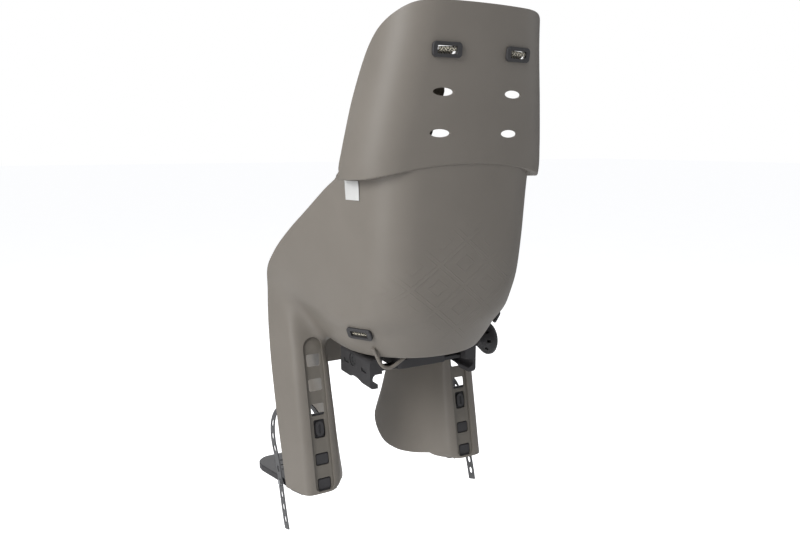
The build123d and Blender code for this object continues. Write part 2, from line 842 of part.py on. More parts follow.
def make_footrest():
    outline = Polyline((130, 42), (180, 42), (196, 84), (201.5, 124), (footrest_outer, 185),
                       (footrest_outer, footrest_front), (118, footrest_front), (111.5, 110), close=True)
    plan = make_face(outline)
    corners = plan.vertices().sort_by(Axis.Y)[-2:]
    plan = fillet(corners, 26)
    body = Pos(0, 0, footrest_bottom) * extrude(plan, footrest_top - footrest_bottom)
    body = chamfer(body.faces().sort_by(Axis.Z)[0].edges(), 3)
    body = chamfer(body.faces().sort_by(Axis.Z)[-1].edges(), 1.2)
    # grip ribs across the tread
    for index in range(6):
        y = 90 + 20 * index
        body += Pos(158, y, footrest_top) * Box(60, 5, 2.4)
    plane = rear_plane(0)
    stretch = 1 / math.cos(math.atan(leg_slant))
    depth = wall + channel_pad + upright_gap
    high = upright_top * stretch
    low = footrest_bottom * stretch
    tall = high - low
    slab = RectangleRounded(2 * upright_half_width, tall, 6)
    upright = extrude(plane * (Pos(0, (high + low) / 2) * slab), -(depth + upright_thick))
    upright -= extrude(plane * (Pos(0, (high + low) / 2) * Rectangle(90, tall + 60)), -depth)
    boss = Pos(0, latch_z * stretch) * RectangleRounded(latch_width + 11, latch_height + 11, 4)
    block = extrude(plane * boss, -(depth + latch_pocket + 2.5))
    block -= extrude(plane * boss, -(depth + 1))
    upright += block
    pocket = Pos(0, latch_z * stretch) * RectangleRounded(latch_width + 5, latch_height + 3, 4)
    upright -= extrude(plane * pocket, -(depth + latch_pocket))
    upright -= Pos(0, 0, footrest_bottom - 50) * Box(900, 900, 100)
    # hooks that rest in the lower holes of the channel
    for index in (4, 5):
        peg = Pos(0, hole_z(index) * stretch) * RectangleRounded(hole_width - 3, hole_height - 5, 2)
        hook = extrude(plane * peg, -(depth + 1)) - extrude(plane * peg, -(channel_depth + 1.2))
        upright += hook
    # the tread and the upright meet in a gusset
    gusset = Polygon((46, footrest_top - 4), (100, footrest_top - 4), (60, -152), align=None)
    rib = extrude(Plane.YZ * gusset, 3, both=True)
    body += upright
    for x in (channel_x - 16, channel_x + 16):
        body += Pos(x, 0, 0) * rib
    # the rear of the tread is bevelled so that it stays out of sight behind the leg guard
    bevel = Polygon((0, leg_bottom - 3), (42, leg_bottom - 3), (64, footrest_bottom - 1.5),
                    (64, footrest_bottom - 30), (0, footrest_bottom - 30), align=None)
    return body - extrude(Plane.YZ * bevel, 300, both=True)


def make_latch():
    plane = rear_plane(0)
    stretch = 1 / math.cos(math.atan(leg_slant))
    spot = Pos(0, latch_z * stretch)
    depth = wall + channel_pad + upright_gap
    button = extrude(plane * (spot * SlotOverall(latch_height - 4, latch_width - 4, rotation=90)), -(depth + 1))
    button -= extrude(plane * (spot * Rectangle(60, 90)), -1.6)
    flange = RectangleRounded(latch_width + 4, latch_height + 2, 3.6)
    plate = extrude(plane * (spot * flange), -(depth + 2.2)) - extrude(plane * (spot * flange), -(depth + 0.2))
    groove = extrude(plane * (spot * SlotOverall(latch_height - 14, 4, rotation=90)), -3)
    return button + plate - groove


def strap_plane():
    # plane of the right foot strap: X across the seat, local y down along the strap
    tilt = math.radians(strap_tilt)
    y, z = strap_origin
    return Plane(origin=(0, y, z), x_dir=(1, 0, 0), z_dir=(0, math.cos(tilt), -math.sin(tilt)))


def make_foot_strap():
    strip = extrude(strap_plane() * trace(Spline(*strap_path), strap_thick), strap_width / 2, both=True)
    # local z of the holes runs along X
    for step in strap_hole_steps:
        strip -= stud_place(step) * extrude(SlotOverall(strap_hole_length, strap_hole), 40)
    return strip


def stud_place(step):
    # plane that faces outwards at a distance along the hanging strap
    tilt = math.radians(strap_tilt)
    y, z = strap_origin
    down = (0, -math.sin(tilt), -math.cos(tilt))
    place = (190, y + step * down[1], z + step * down[2])
    return Plane(origin=place, x_dir=down, z_dir=(1, 0, 0))


def make_stud():
    place = stud_place(stud_step)
    outside = strap_line_x + strap_thick / 2 + 0.3 - 190
    neck = extrude(place * Circle(stud_neck), outside + 1) - extrude(place * Circle(stud_neck), 8)
    head = Pos(outside, 0, 0) * extrude(place * Circle(stud_head), 2.2)
    return neck + head


def make_label():
    plane = Plane(origin=label_place, x_dir=(label_normal[1], -label_normal[0], 0), z_dir=label_normal)
    return extrude(plane * RectangleRounded(label_size, label_size, 1), label_thick)


def make_crotch_anchor():
    plate = Pos(0, crotch_y, floor_under - 3) * extrude(RectangleRounded(48, 18, 5), 3)
    slot = RectangleRounded(webbing_width + 1, webbing_thick + 1, 0.8)
    return plate - Pos(0, crotch_y, floor_under) * extrude(slot, 20, both=True)


if __name__ == "__main__":
    shell = make_shell()
    print("shell", len(shell.solids()), round(shell.volume), shell.is_valid)
    save("seat_shell", shell)
    save("label_tag", make_label())
    both("upper_anchor", anchor_plate(upper_plane(), 0.02))
    both("lower_anchor", anchor_plate(lower_plane(), 0.3))
    both("shoulder_strap", band(shoulder_line, webbing_thick, webbing_width, 2.4))
    both("shoulder_pad", make_pad())
    both("strap_adjuster", make_adjuster())
    both("lap_strap", make_lap_strap())
    save("crotch_strap", make_crotch_strap())
    save("crotch_anchor", make_crotch_anchor())
    save("buckle_body", make_buckle())
    save("buckle_button", make_button())
    both("buckle_tongue", make_tongue())
    save("seat_cushion", cushion_body())
    save("back_cushion", back_cushion_body())
    save("adapter_housing", make_housing())
    save("mounting_plate", make_plate())
    save("cross_bar_front", make_bar(1))
    save("cross_bar_rear", make_bar(-1))
    both("jaw", make_jaw())
    both("spindle_nut", make_nut())
    save("spindle", make_spindle())
    save("spindle_clips", make_clips())
    save("knob", make_knob())
    save("knob_bolt", make_knob_bolt())
    screws, washers, nuts = make_screws()
    save("mounting_screws", screws)
    save("mounting_washers", washers)
    save("mounting_nuts", nuts)
    both("footrest", make_footrest())
    both("footrest_latch", make_latch())
    both("foot_strap", make_foot_strap())
    both("strap_stud", make_stud())
    for name, shape in made.items():
        size = shape.bounding_box().size
        print(name, len(shape.solids()), shape.is_valid, round(shape.volume), round(size.X), round(size.Y), round(size.Z))
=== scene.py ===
import math

import bmesh
import bpy
import numpy as np
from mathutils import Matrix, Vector
from mathutils.bvhtree import BVHTree


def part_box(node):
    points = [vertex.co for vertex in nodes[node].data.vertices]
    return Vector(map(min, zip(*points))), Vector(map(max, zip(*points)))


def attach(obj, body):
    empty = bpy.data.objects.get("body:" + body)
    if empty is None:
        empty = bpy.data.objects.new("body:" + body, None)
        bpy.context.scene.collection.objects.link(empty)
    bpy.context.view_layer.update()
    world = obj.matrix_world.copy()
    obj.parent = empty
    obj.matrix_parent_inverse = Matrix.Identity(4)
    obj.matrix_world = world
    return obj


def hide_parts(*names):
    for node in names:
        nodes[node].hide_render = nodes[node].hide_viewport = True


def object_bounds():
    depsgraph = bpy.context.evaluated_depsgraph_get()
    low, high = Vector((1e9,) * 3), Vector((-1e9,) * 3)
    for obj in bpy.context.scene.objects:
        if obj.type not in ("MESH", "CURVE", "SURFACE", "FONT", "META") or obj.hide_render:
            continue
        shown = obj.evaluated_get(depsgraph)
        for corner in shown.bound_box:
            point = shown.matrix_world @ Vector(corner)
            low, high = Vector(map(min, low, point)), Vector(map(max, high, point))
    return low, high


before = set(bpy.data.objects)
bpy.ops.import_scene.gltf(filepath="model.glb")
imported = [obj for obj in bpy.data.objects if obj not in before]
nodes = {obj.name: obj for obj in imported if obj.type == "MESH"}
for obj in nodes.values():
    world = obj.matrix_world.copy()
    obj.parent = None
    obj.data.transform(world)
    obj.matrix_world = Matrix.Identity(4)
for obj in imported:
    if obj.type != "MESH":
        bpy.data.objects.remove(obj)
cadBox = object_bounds()
mm = 0.001

# Sizes of the shell, in millimetres
shell = {
    "wall": 3.6,
    "backRadius": 550,
    "floorUnder": 35,
    "floorTop": 38.6,
    "frontLimit": 280,
    "backSlope": 0.1276,
    "backAtLedge": -192.5,
    "ledgeHeight": 347,
    "ledgeDrop": 22,
    "ledgeHalf": 160,
    "voxel": 4.0,
}
# half width of the head rest at y = 0, by height
headLevels = [(300, 172), (336, 179.4), (370, 176.2), (437, 165.6), (523, 150.7), (580, 144)]
# plan sections of the bucket: height, back, corner radius, side flare, half width at y = 0
bucketLevels = [
    (35, -119, 118, 0, 122),
    (55, -131, 136, 0, 140),
    (82, -146, 144, 2, 153),
    (122, -162, 100, 14, 165),
    (165, -169.5, 76, 16, 173.5),
    (225, -177.5, 75, 17, 180),
    (300, -185.2, 75, 17, 182.5),
    (356, -192, 75, 17, 184.6),
]
# front edges seen from the side, as (y, z): head rest, arm and leg guard, wheel-side panel
headEdge = [(-236, 570), (-205, 566), (-181, 554), (-149, 531), (-129, 505), (-108, 440), (-99, 385),
            (-94, 356), (-91, 340)]
armEdge = [(-91, 341), (-86, 335.5), (-73, 328), (-53, 318.4), (-37.7, 308.6), (12, 270), (57, 235),
           (103, 195), (136, 156), (150, 100), (143, 26), (122, -80), (85, -231)]
panelEdge = [(168, 38.6), (205, 15), (238, -50), (256, -130), (253, -205), (210, -240), (165, -247), (118, -241),
             (80, -231)]
leg = {
    "inside": 120,
    "outside": 185,
    "bottom": -231,
    "top": 172,
    "armOutside": 203,
    "armStart": 60,
    "armCorner": 40,
    "corner": 18,
    "innerCorner": 9,
    "rearAtZero": 76,
    "slant": 0.196,
    "flare": 20,
    "armFlare": 17,
    "edge": 60,
    "edgeLevel": -212,
    "edgeSlant": 0.185,
    "panelFront": 256,
}
# where the bucket's side widens to the head rest's width
blend = {"level": 325, "flare": 4, "low": 320, "rise": 13, "rear": -106, "run": 22}
# a shoulder strap's x and z at its tongue and at its rear anchor
harness = {"tongue": (17, 138.65), "anchor": (61, 504)}
channel = {
    "x": 150,
    "width": 36,
    "top": 39,
    "depth": 3.6,
    "floorThick": 3.2,
    "pitch": 43.2,
    "first": -2,
    "count": 6,
    "hole": (25.5, 21.9),
    "latchIndex": 3,
    "latchHole": (21, 33),
    "latchZ": -122,
}


def curveThrough(points, steps):
    # smooth curve through points, as an array with steps samples for each stretch
    pts = [np.array(p, float) for p in points]
    pts = [2 * pts[0] - pts[1]] + pts + [2 * pts[-1] - pts[-2]]
    out = []
    for i in range(1, len(pts) - 2):
        a, b, c, d = pts[i - 1:i + 3]
        lengths = [max(np.linalg.norm(q - p) ** 0.5, 1e-6) for p, q in ((a, b), (b, c), (c, d))]
        t = np.cumsum([0] + lengths)
        for k in range(steps):
            u = t[1] + (t[2] - t[1]) * k / steps
            a1 = (t[1] - u) / (t[1] - t[0]) * a + (u - t[0]) / (t[1] - t[0]) * b
            a2 = (t[2] - u) / (t[2] - t[1]) * b + (u - t[1]) / (t[2] - t[1]) * c
            a3 = (t[3] - u) / (t[3] - t[2]) * c + (u - t[2]) / (t[3] - t[2]) * d
            b1 = (t[2] - u) / (t[2] - t[0]) * a1 + (u - t[0]) / (t[2] - t[0]) * a2
            b2 = (t[3] - u) / (t[3] - t[1]) * a2 + (u - t[1]) / (t[3] - t[1]) * a3
            out.append((t[2] - u) / (t[2] - t[1]) * b1 + (u - t[1]) / (t[2] - t[1]) * b2)
    out.append(pts[-2])
    return np.array(out)


def table(levels):
    # smooth functions of height through listed values
    curve = curveThrough(levels, 24)
    return lambda z: [np.interp(z, curve[:, 0], curve[:, k]) for k in range(1, curve.shape[1])]


headAt = table(headLevels)
bucketAt = table(bucketLevels)
headCurve = curveThrough(headEdge, 16)
armCurve = curveThrough(armEdge, 12)
panelCurve = curveThrough(panelEdge, 8)


def halfSection(backY, corner, flare, half, frontY, counts=(14, 16, 30)):
    # right half of a plan section, from the middle of the back to the front
    angle = math.radians(flare)
    radius = shell["backRadius"]
    centreY = backY + radius
    # centre of the corner's arc, which touches the back's arc and the side's line
    baseX = half - corner * math.cos(angle)
    baseY = corner * math.sin(angle) - centreY
    halfB = baseX * math.sin(angle) + baseY * math.cos(angle)
    rest = baseX ** 2 + baseY ** 2 - (radius - corner) ** 2
    step = -halfB - math.sqrt(halfB ** 2 - rest)
    cx = baseX + step * math.sin(angle)
    cy = baseY + step * math.cos(angle) + centreY
    first = math.atan2(cx, centreY - cy)
    points = []
    for i in range(counts[0]):
        turn = first * i / counts[0]
        points.append((radius * math.sin(turn), centreY - radius * math.cos(turn)))
    last = math.pi / 2 - angle
    for i in range(counts[1]):
        turn = first + (last - first) * i / counts[1]
        points.append((cx + corner * math.sin(turn), cy - corner * math.cos(turn)))
    bx = cx + corner * math.cos(angle)
    by = cy - corner * math.sin(angle)
    for i in range(counts[2] + 1):
        y = by + (frontY - by) * i / counts[2]
        points.append((bx + (y - by) * math.tan(angle), y))
    return np.array(points)


def backLine(z):
    # y of the back in the middle, by height
    return shell["backAtLedge"] - shell["backSlope"] * (z - shell["ledgeHeight"])


def ledgeZ(x):
    # height of the ledge at a distance from the middle
    half = shell["ledgeHalf"]
    drop = shell["ledgeDrop"]
    radius = (half ** 2 + drop ** 2) / (2 * drop)
    inner = min(abs(x), half)
    z = shell["ledgeHeight"] - (radius - math.sqrt(radius ** 2 - inner ** 2))
    return z - max(abs(x) - half, 0) * 14 / 120


def newObject(name, verts, faces, material=None):
    mesh = bpy.data.meshes.new(name)
    mesh.from_pydata([tuple(v) for v in verts], [], faces)
    mesh.validate()
    obj = bpy.data.objects.new(name, mesh)
    bpy.context.scene.collection.objects.link(obj)
    if material:
        obj.data.materials.append(material)
    return obj


def applyAll(obj):
    # bakes the modifiers into a plain mesh
    bpy.context.view_layer.update()
    graph = bpy.context.evaluated_depsgraph_get()
    mesh = bpy.data.meshes.new_from_object(obj.evaluated_get(graph))
    old = obj.data
    obj.modifiers.clear()
    obj.data = mesh
    if old.users == 0:
        bpy.data.meshes.remove(old)


def smooth(obj, angle=35):
    # smooth shading with the edges over the angle kept sharp
    mesh = obj.data
    mesh.polygons.foreach_set("use_smooth", [True] * len(mesh.polygons))
    mesh.set_sharp_from_angle(angle=math.radians(angle))


def fixNormals(obj):
    work = bmesh.new()
    work.from_mesh(obj.data)
    bmesh.ops.recalc_face_normals(work, faces=work.faces)
    work.to_mesh(obj.data)
    work.free()
    return obj


def prism(name, outline, toPoint, low, high, material=None):
    # closed prism of a plane outline between two depths; toPoint turns (u, v, depth) into a point
    count = len(outline)
    verts = [toPoint(u, v, low) for u, v in outline] + [toPoint(u, v, high) for u, v in outline]
    faces = [list(range(count))[::-1], list(range(count, 2 * count))]
    faces += [[i, (i + 1) % count, count + (i + 1) % count, count + i] for i in range(count)]
    return fixNormals(newObject(name, [Vector(v) * mm for v in verts], faces, material))


def cutWith(obj, tool):
    # cuts a tool away; its material marks the new faces
    mod = obj.modifiers.new("cut", "BOOLEAN")
    mod.operation = "DIFFERENCE"
    mod.solver = "EXACT"
    mod.object = tool
    mod.material_mode = "TRANSFER"
    applyAll(obj)
    bpy.data.objects.remove(tool)


def keepFirstMaterial(obj):
    while len(obj.data.materials) > 1:
        obj.data.materials.pop(index=len(obj.data.materials) - 1)


def softEdge(obj, width):
    # small round on the sharp edges
    mod = obj.modifiers.new("edge", "BEVEL")
    mod.width = width * mm
    mod.segments = 2
    mod.limit_method = "ANGLE"
    mod.angle_limit = math.radians(50)
    applyAll(obj)


def ringFaces(count, rings):
    # faces of a closed sweep: both ends, then the sides
    faces = [list(range(count))[::-1], [(rings - 1) * count + i for i in range(count)]]
    for k in range(rings - 1):
        for i in range(count):
            j = (i + 1) % count
            faces.append([k * count + i, k * count + j, (k + 1) * count + j, (k + 1) * count + i])
    return faces


def legRear(z):
    # outer face of a leg guard's rear wall
    return leg["rearAtZero"] + leg["slant"] * z


def legOutline(z):
    # right leg guard's plan outline at a height, as a closed loop
    rise = max(0, (z - leg["armStart"]) / (leg["top"] - leg["armStart"]))
    rear = legRear(z)
    angle = math.radians(leg["flare"] + (leg["armFlare"] - leg["flare"]) * rise)
    side = leg["outside"] + (leg["armOutside"] - leg["outside"]) * rise ** 2
    bend = leg["corner"] + (leg["armCorner"] - leg["corner"]) * rise
    edge = panelX(z)
    front = shell["frontLimit"]
    turn = math.pi / 2 - angle
    back = bend * math.tan(turn / 2)
    cx = side - back
    cy = rear + bend
    points = []
    for i in range(13):
        a = turn * i / 12
        points.append((cx + bend * math.sin(a), cy - bend * math.cos(a)))
    x0, y0 = points[-1]
    for i in range(1, 13):
        y = y0 + (front - y0) * i / 12
        points.append((x0 + (y - y0) * math.tan(angle), y))
    points.append((edge + 10, front))
    nose = float(np.interp(-z, -panelCurve[:, 1], panelCurve[:, 0], 168, 253))
    for i in range(41):
        t = i / 40
        y = leg["panelFront"] + (rear - leg["panelFront"]) * t
        # the panel turns outwards along its front edge
        curl = 10 * easy((y - nose + 13) / 11) if z > -160 else 0
        points.append((edge + (leg["inside"] - edge) * t * t + curl, y))
    # soften the inner rear corner
    px, py = points[-1]
    qx, qy = points[-3]
    points[-1] = ((px + qx) / 2 + 1.2, (py + qy) / 2 - 0.6)
    points[-2] = ((points[-2][0] + qx) / 2, (points[-2][1] + qy) / 2)
    points.append((px + leg["innerCorner"] * 0.9, rear))
    # round the lower corner between the rear wall and the wheel-side panel
    drop = min(max(-218 - z, 0), 15)
    lift = 15 - math.sqrt(225 - drop * drop)
    count = len(points)
    return [(x + lift * easy((74 - y) / 20), y) if i > count - 30 else (x, y) for i, (x, y) in enumerate(points)]


def stack(name, rings):
    # closed body from rings of equal length
    verts = [Vector(p) * mm for ring in rings for p in ring]
    return fixNormals(newObject(name, verts, ringFaces(len(rings[0]), len(rings))))


def easy(value):
    # smooth step from 0 to 1
    value = min(max(value, 0), 1)
    return value * value * (3 - 2 * value)


def shoulder(x, y, z):
    # widens the bucket's side so that the head rest's front edge runs into the arm's edge
    wide = headAt(max(z, blend["level"]))[0] + y * math.tan(math.radians(blend["flare"]))
    grow = easy((z - blend["low"]) / blend["rise"]) * easy((y - blend["rear"]) / blend["run"])
    return x + max(0, wide - x) * grow


def panelX(z):
    # outer face of a wheel-side panel at its front edge
    edge = leg["edge"] + leg["edgeSlant"] * (min(z, leg["armStart"]) - leg["edgeLevel"])
    return edge + 12 * easy((z + 110) / 80) * easy((60 - z) / 60)


def bucketVolume():
    rings = []
    for z in np.arange(shell["floorUnder"], 357, 5.0):
        right = halfSection(*bucketAt(z), shell["frontLimit"])
        for point in right:
            point[0] = shoulder(point[0], point[1], z)
        left = [(-x, y) for x, y in right[1:][::-1]]
        rings.append([(x, y, z) for x, y in list(right) + left])
    return stack("bucketVolume", rings)


def legVolume(side):
    levels = [-253, -236, -232, -230, -227, -223, -218, -200, -140, -110, -95, -80, -65, -50, -35, -20, 0, 20, 40]
    levels += range(60, 173, 8)
    return stack("legVolume", [[(side * x, y, z) for x, y in legOutline(z)] for z in levels])


def creaseLine():
    # where a leg guard's rear wall runs out of the bucket
    line = []
    for z in np.arange(40, 168, 6.0):
        flare, half = bucketAt(z)[2:]
        rear = legRear(z)
        line.append((min(half + math.tan(math.radians(flare)) * rear, 204), rear, z))
    start = line[0][0]
    for x in np.arange(104, start, 6.0):
        line.append((x, legRear(35), 35))
    return np.array(line)


def relax(obj, rounds, weights):
    # moves each point towards the mean of its neighbours
    co = coords(obj)
    count = len(co)
    edges = np.empty(len(obj.data.edges) * 2, int)
    obj.data.edges.foreach_get("vertices", edges)
    a, b = edges.reshape(-1, 2).T
    degree = np.bincount(a, minlength=count) + np.bincount(b, minlength=count)
    for _ in range(rounds):
        total = np.zeros_like(co)
        for k in range(3):
            total[:, k] = np.bincount(a, co[b, k], count) + np.bincount(b, co[a, k], count)
        co += (total / degree[:, None] - co) * weights[:, None]
    moveTo(obj, co)


def coords(obj, what="co"):
    # the vertices' places, or their normals, as an array
    values = np.empty(len(obj.data.vertices) * 3)
    obj.data.vertices.foreach_get(what, values)
    return values.reshape(-1, 3)


def moveTo(obj, co):
    obj.data.vertices.foreach_set("co", co.ravel())
    obj.data.update()


def seatSkin(material, cutMaterial):
    # outer skin of the bucket, arms and leg guards, blended where they meet
    body = bucketVolume()
    parts = [legVolume(1), legVolume(-1)]
    work = bmesh.new()
    for obj in [body] + parts:
        work.from_mesh(obj.data)
    work.to_mesh(body.data)
    work.free()
    for obj in parts:
        bpy.data.objects.remove(obj)
    mod = body.modifiers.new("remesh", "REMESH")
    mod.mode = "VOXEL"
    mod.voxel_size = shell["voxel"] * mm
    applyAll(body)
    co = coords(body) / mm
    right = co.copy()
    right[:, 0] = np.abs(right[:, 0])
    line = creaseLine()
    near = np.min(np.linalg.norm(right[:, None, :] - line[None, :, :], axis=2), axis=1)
    weights = np.clip(1 - (near - 14) / 34, 0, 1) * 0.6
    side = np.clip((right[:, 0] - 165) / 20, 0, 1) * np.clip((right[:, 2] - 70) / 30, 0, 1)
    side *= np.clip((240 - right[:, 2]) / 40, 0, 1) * 0.4
    relax(body, 46, np.maximum(weights, side))
    relax(body, 6, np.full(len(co), 0.3))
    body.data.materials.clear()
    body.data.materials.append(material)
    # everything in front of the rim is cut away
    far = 420
    low = leg["bottom"] - 2
    floorTop = shell["floorTop"]
    startY, startZ = armEdge[0]
    rim = [tuple(p) for p in armCurve if p[1] > floorTop]
    cross = np.interp(floorTop, armCurve[::-1, 1], armCurve[::-1, 0])
    outline = [(startY - 1.5, far), (startY - 1.5, startZ + 1)] + rim
    outline += [(cross, floorTop), (far, floorTop), (far, far)]
    cutWith(body, prism("frontTool", outline, lambda u, v, d: (d, u, v), -far, far, cutMaterial))
    side = [tuple(p) for p in armCurve if p[1] <= floorTop + 1]
    side[-1] = (84, low)
    outline = [(cross, floorTop + 1)] + side[1:] + [(-60, low), (-60, -300), (far, -300), (far, floorTop + 1)]
    for s in (1, -1):
        place = lambda u, v, d: (s * d, u, v)
        cutWith(body, prism("sideTool", outline, place, leg["inside"] + 2, far, cutMaterial))
    panel = [tuple(p) for p in panelCurve]
    outline = panel + [(60, low - 3), (-60, low - 3), (-60, -300), (far, -300), (far, floorTop)]
    reach = leg["inside"] + 2.0
    cutWith(body, prism("middleTool", outline, lambda u, v, d: (d, u, v), -reach, reach, cutMaterial))
    # the top of the bucket lies inside the head rest and stays open
    outline = [(x, ledgeZ(x) + 2.4) for x in range(-260, 261, 10)] + [(260, 420), (-260, 420)]
    cutWith(body, prism("topTool", outline, lambda u, v, d: (u, d, v), -400, startY - 0.4, cutMaterial))
    work = bmesh.new()
    work.from_mesh(body.data)
    names = [m.name if m else "" for m in body.data.materials]
    gone = [f for f in work.faces if names[f.material_index] == cutMaterial.name]
    bmesh.ops.delete(work, geom=gone, context="FACES")
    bmesh.ops.remove_doubles(work, verts=work.verts, dist=0.0001)
    bmesh.ops.dissolve_degenerate(work, edges=work.edges, dist=0.0001)
    loose = [v for v in work.verts if not v.link_faces]
    bmesh.ops.delete(work, geom=loose, context="VERTS")
    work.to_mesh(body.data)
    work.free()
    body.name = "shellBody"
    return body


def thicken(obj, thick):
    # gives an open skin its wall, inwards
    mod = obj.modifiers.new("wall", "SOLIDIFY")
    mod.thickness = thick * mm
    mod.offset = -1
    mod.use_quality_normals = True
    applyAll(obj)


def headSkin(material):
    # head rest as a clean grid from the ledge up to its rim, with a lip under it
    settings = {"rim": 84, "rows": 56, "front": -80, "top": 568.6, "foot": 341, "corner": 75, "flare": 4, "lip": 3.0}
    edgeY = headCurve[::-1, 0]
    edgeZ = headCurve[::-1, 1]

    def line(z):
        pts = halfSection(backLine(z), settings["corner"], settings["flare"], headAt(z)[0], settings["front"],
                          (60, 60, 80))
        gaps = np.linalg.norm(np.diff(pts, axis=0), axis=1)
        share = np.concatenate([[0], np.cumsum(gaps)]) / gaps.sum()
        return share, pts

    # front rim: share of the section's length, height, x and y
    rim = []
    for t in np.linspace(0, 1, 900):
        z = settings["top"] - (settings["top"] - settings["foot"]) * t ** 3
        share, pts = line(z)
        y = float(np.interp(z, edgeZ, edgeY))
        if y < pts[0][1]:
            rim.append((0.0, z, 0.0, pts[0][1]))
            continue
        u = float(np.interp(y, pts[:, 1], share))
        rim.append((u, z, float(np.interp(u, share, pts[:, 0])), y))
    rim = np.array(rim)
    first = np.max(np.nonzero(rim[:, 0] == 0)[0], initial=0)
    rim = rim[first:]
    rim[0, 0] = 0
    rim[0, 2] = 0
    gaps = np.linalg.norm(np.diff(rim[:, 1:], axis=0), axis=1)
    walk = np.concatenate([[0], np.cumsum(gaps)])
    places = np.linspace(0, walk[-1], settings["rim"] + 1)
    columns = []
    for place in places:
        u = float(np.interp(place, walk, rim[:, 0]))
        top = float(np.interp(place, walk, rim[:, 1]))
        share, pts = line(345)
        baseX = float(np.interp(u, share, pts[:, 0]))
        low = ledgeZ(baseX)
        if top < low + 4:
            break
        column = []
        for k in range(settings["rows"] + 1):
            z = low + settings["lip"] + (top - low - settings["lip"]) * k / settings["rows"]
            share, pts = line(z)
            column.append((float(np.interp(u, share, pts[:, 0])), float(np.interp(u, share, pts[:, 1])), z))
        columns.append(column)
    # lip: a rounded lower edge and a flat underside that reaches into the bucket's wall
    target = halfSection(*bucketAt(349), -60)
    centre = np.array([0.0, -60.0])
    for column in columns:
        base = np.array(column[0])
        flat = base[:2]
        gap = np.linalg.norm(target - flat, axis=1)
        goal = target[np.argmin(gap)]
        inward = centre - goal
        goal = goal + inward / np.linalg.norm(inward) * 1.8
        run = goal - flat
        length = max(np.linalg.norm(run), 0.01)
        run = run / length
        low = base[2] - settings["lip"]
        extra = []
        for step, rise in ((0.25, 1.6), (0.9, 0.5), (2.2, 0.0), (5, 0.0), (14, 0.0), (40, 0.0)):
            step = min(step, length)
            place = flat + run * step
            extra.append((place[0], place[1], low + rise))
        column[:0] = extra[::-1]
    rows = len(columns[0])
    full = [[(-x, y, z) for x, y, z in c] for c in columns[:0:-1]] + columns
    verts = [p for c in full for p in c]
    faces = []
    for i in range(len(full) - 1):
        for k in range(rows - 1):
            a = i * rows + k
            faces.append([a, a + rows, a + rows + 1, a + 1])
    obj = newObject("shellHead", [Vector(v) * mm for v in verts], faces, material)
    outward(obj, Vector((0, 0.05, 0.45)))
    return obj


def outward(obj, centre):
    # turns an open skin's normals away from a point inside
    mesh = obj.data
    total = 0
    for poly in mesh.polygons:
        total += poly.normal.dot(poly.center - centre) * poly.area
    if total < 0:
        mesh.flip_normals()
    mesh.update()


def lens(width, height, count=28):
    # ellipse outline
    return [(width / 2 * math.cos(2 * math.pi * i / count), height / 2 * math.sin(2 * math.pi * i / count))
            for i in range(count)]


def rounded(width, height, radius, steps=5):
    # rounded rectangle outline
    points = []
    for sx, sy, start in ((1, 1, 0), (-1, 1, 90), (-1, -1, 180), (1, -1, 270)):
        for i in range(steps + 1):
            a = math.radians(start + 90 * i / steps)
            points.append((sx * (width / 2 - radius) + radius * math.cos(a),
                           sy * (height / 2 - radius) + radius * math.sin(a)))
    return points


def rearPoint(side, u, v, depth):
    # point on a leg guard's rear wall: u across, v up along it, depth behind its outer face
    tilt = math.atan(leg["slant"])
    y = leg["rearAtZero"] + v * math.sin(tilt) + depth * math.cos(tilt)
    z = v * math.cos(tilt) - depth * math.sin(tilt)
    return (side * (channel["x"] + u), y, z)


def channelWindow(width, top):
    # window in a leg guard's rear wall: rounded lower corners and a round top
    half = width / 2
    points = []
    for sx, start in ((-1, 180), (1, 270)):
        for i in range(7):
            a = math.radians(start + 90 * i / 6)
            points.append((sx * (half - 9) + 9 * math.cos(a), -225 + 9 * math.sin(a)))
    for i in range(13):
        a = math.pi * i / 12
        points.append((half * math.cos(a), top - half + half * math.sin(a)))
    return points


def channelTray(side, material):
    # recessed strip with its row of height holes, inside the rear wall
    low = -233
    half = channel["width"] / 2 + 3
    top = channel["top"] + 3
    outline = [(-half, low), (half, low)]
    for i in range(13):
        a = math.pi * i / 12
        outline.append((half * math.cos(a), top - half + half * math.sin(a)))
    place = lambda u, v, d: rearPoint(side, u, v, d)
    depth = channel["depth"]
    name = "shellChannel_right" if side > 0 else "shellChannel_left"
    tray = prism(name, outline, place, depth - 0.3, depth + channel["floorThick"], material)
    stretch = math.sqrt(1 + leg["slant"] ** 2)
    for index in range(channel["count"]):
        wide, high = channel["hole"]
        z = channel["first"] - channel["pitch"] * index
        if index == channel["latchIndex"]:
            wide, high = channel["latchHole"]
            z = channel["latchZ"]
        shape = [(u, v + z * stretch) for u, v in rounded(wide, high, 3.5)]
        cutWith(tray, prism("hole", shape, place, -20, 30, material))
    softEdge(tray, 0.7)
    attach(tray, "seat")
    smooth(tray)


def noseWeb(material):
    # web between the wheel-side panels under the seat's front edge
    nose = {"front": 168.0, "thick": 3.2, "top": 37, "low": -38, "clear": 1.2}

    def half(z):
        share = (leg["panelFront"] - nose["front"]) / (leg["panelFront"] - legRear(z))
        return panelX(z) + (leg["inside"] - panelX(z)) * share ** 2 - nose["clear"]

    top, low = nose["top"], nose["low"]
    outline = [(-half(top), top), (half(top), top), (half(low), low), (-half(low), low)]
    place = lambda u, v, d: (u, d, v)
    web = prism("shellNose", outline, place, nose["front"] - nose["thick"], nose["front"], material)
    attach(web, "seat")


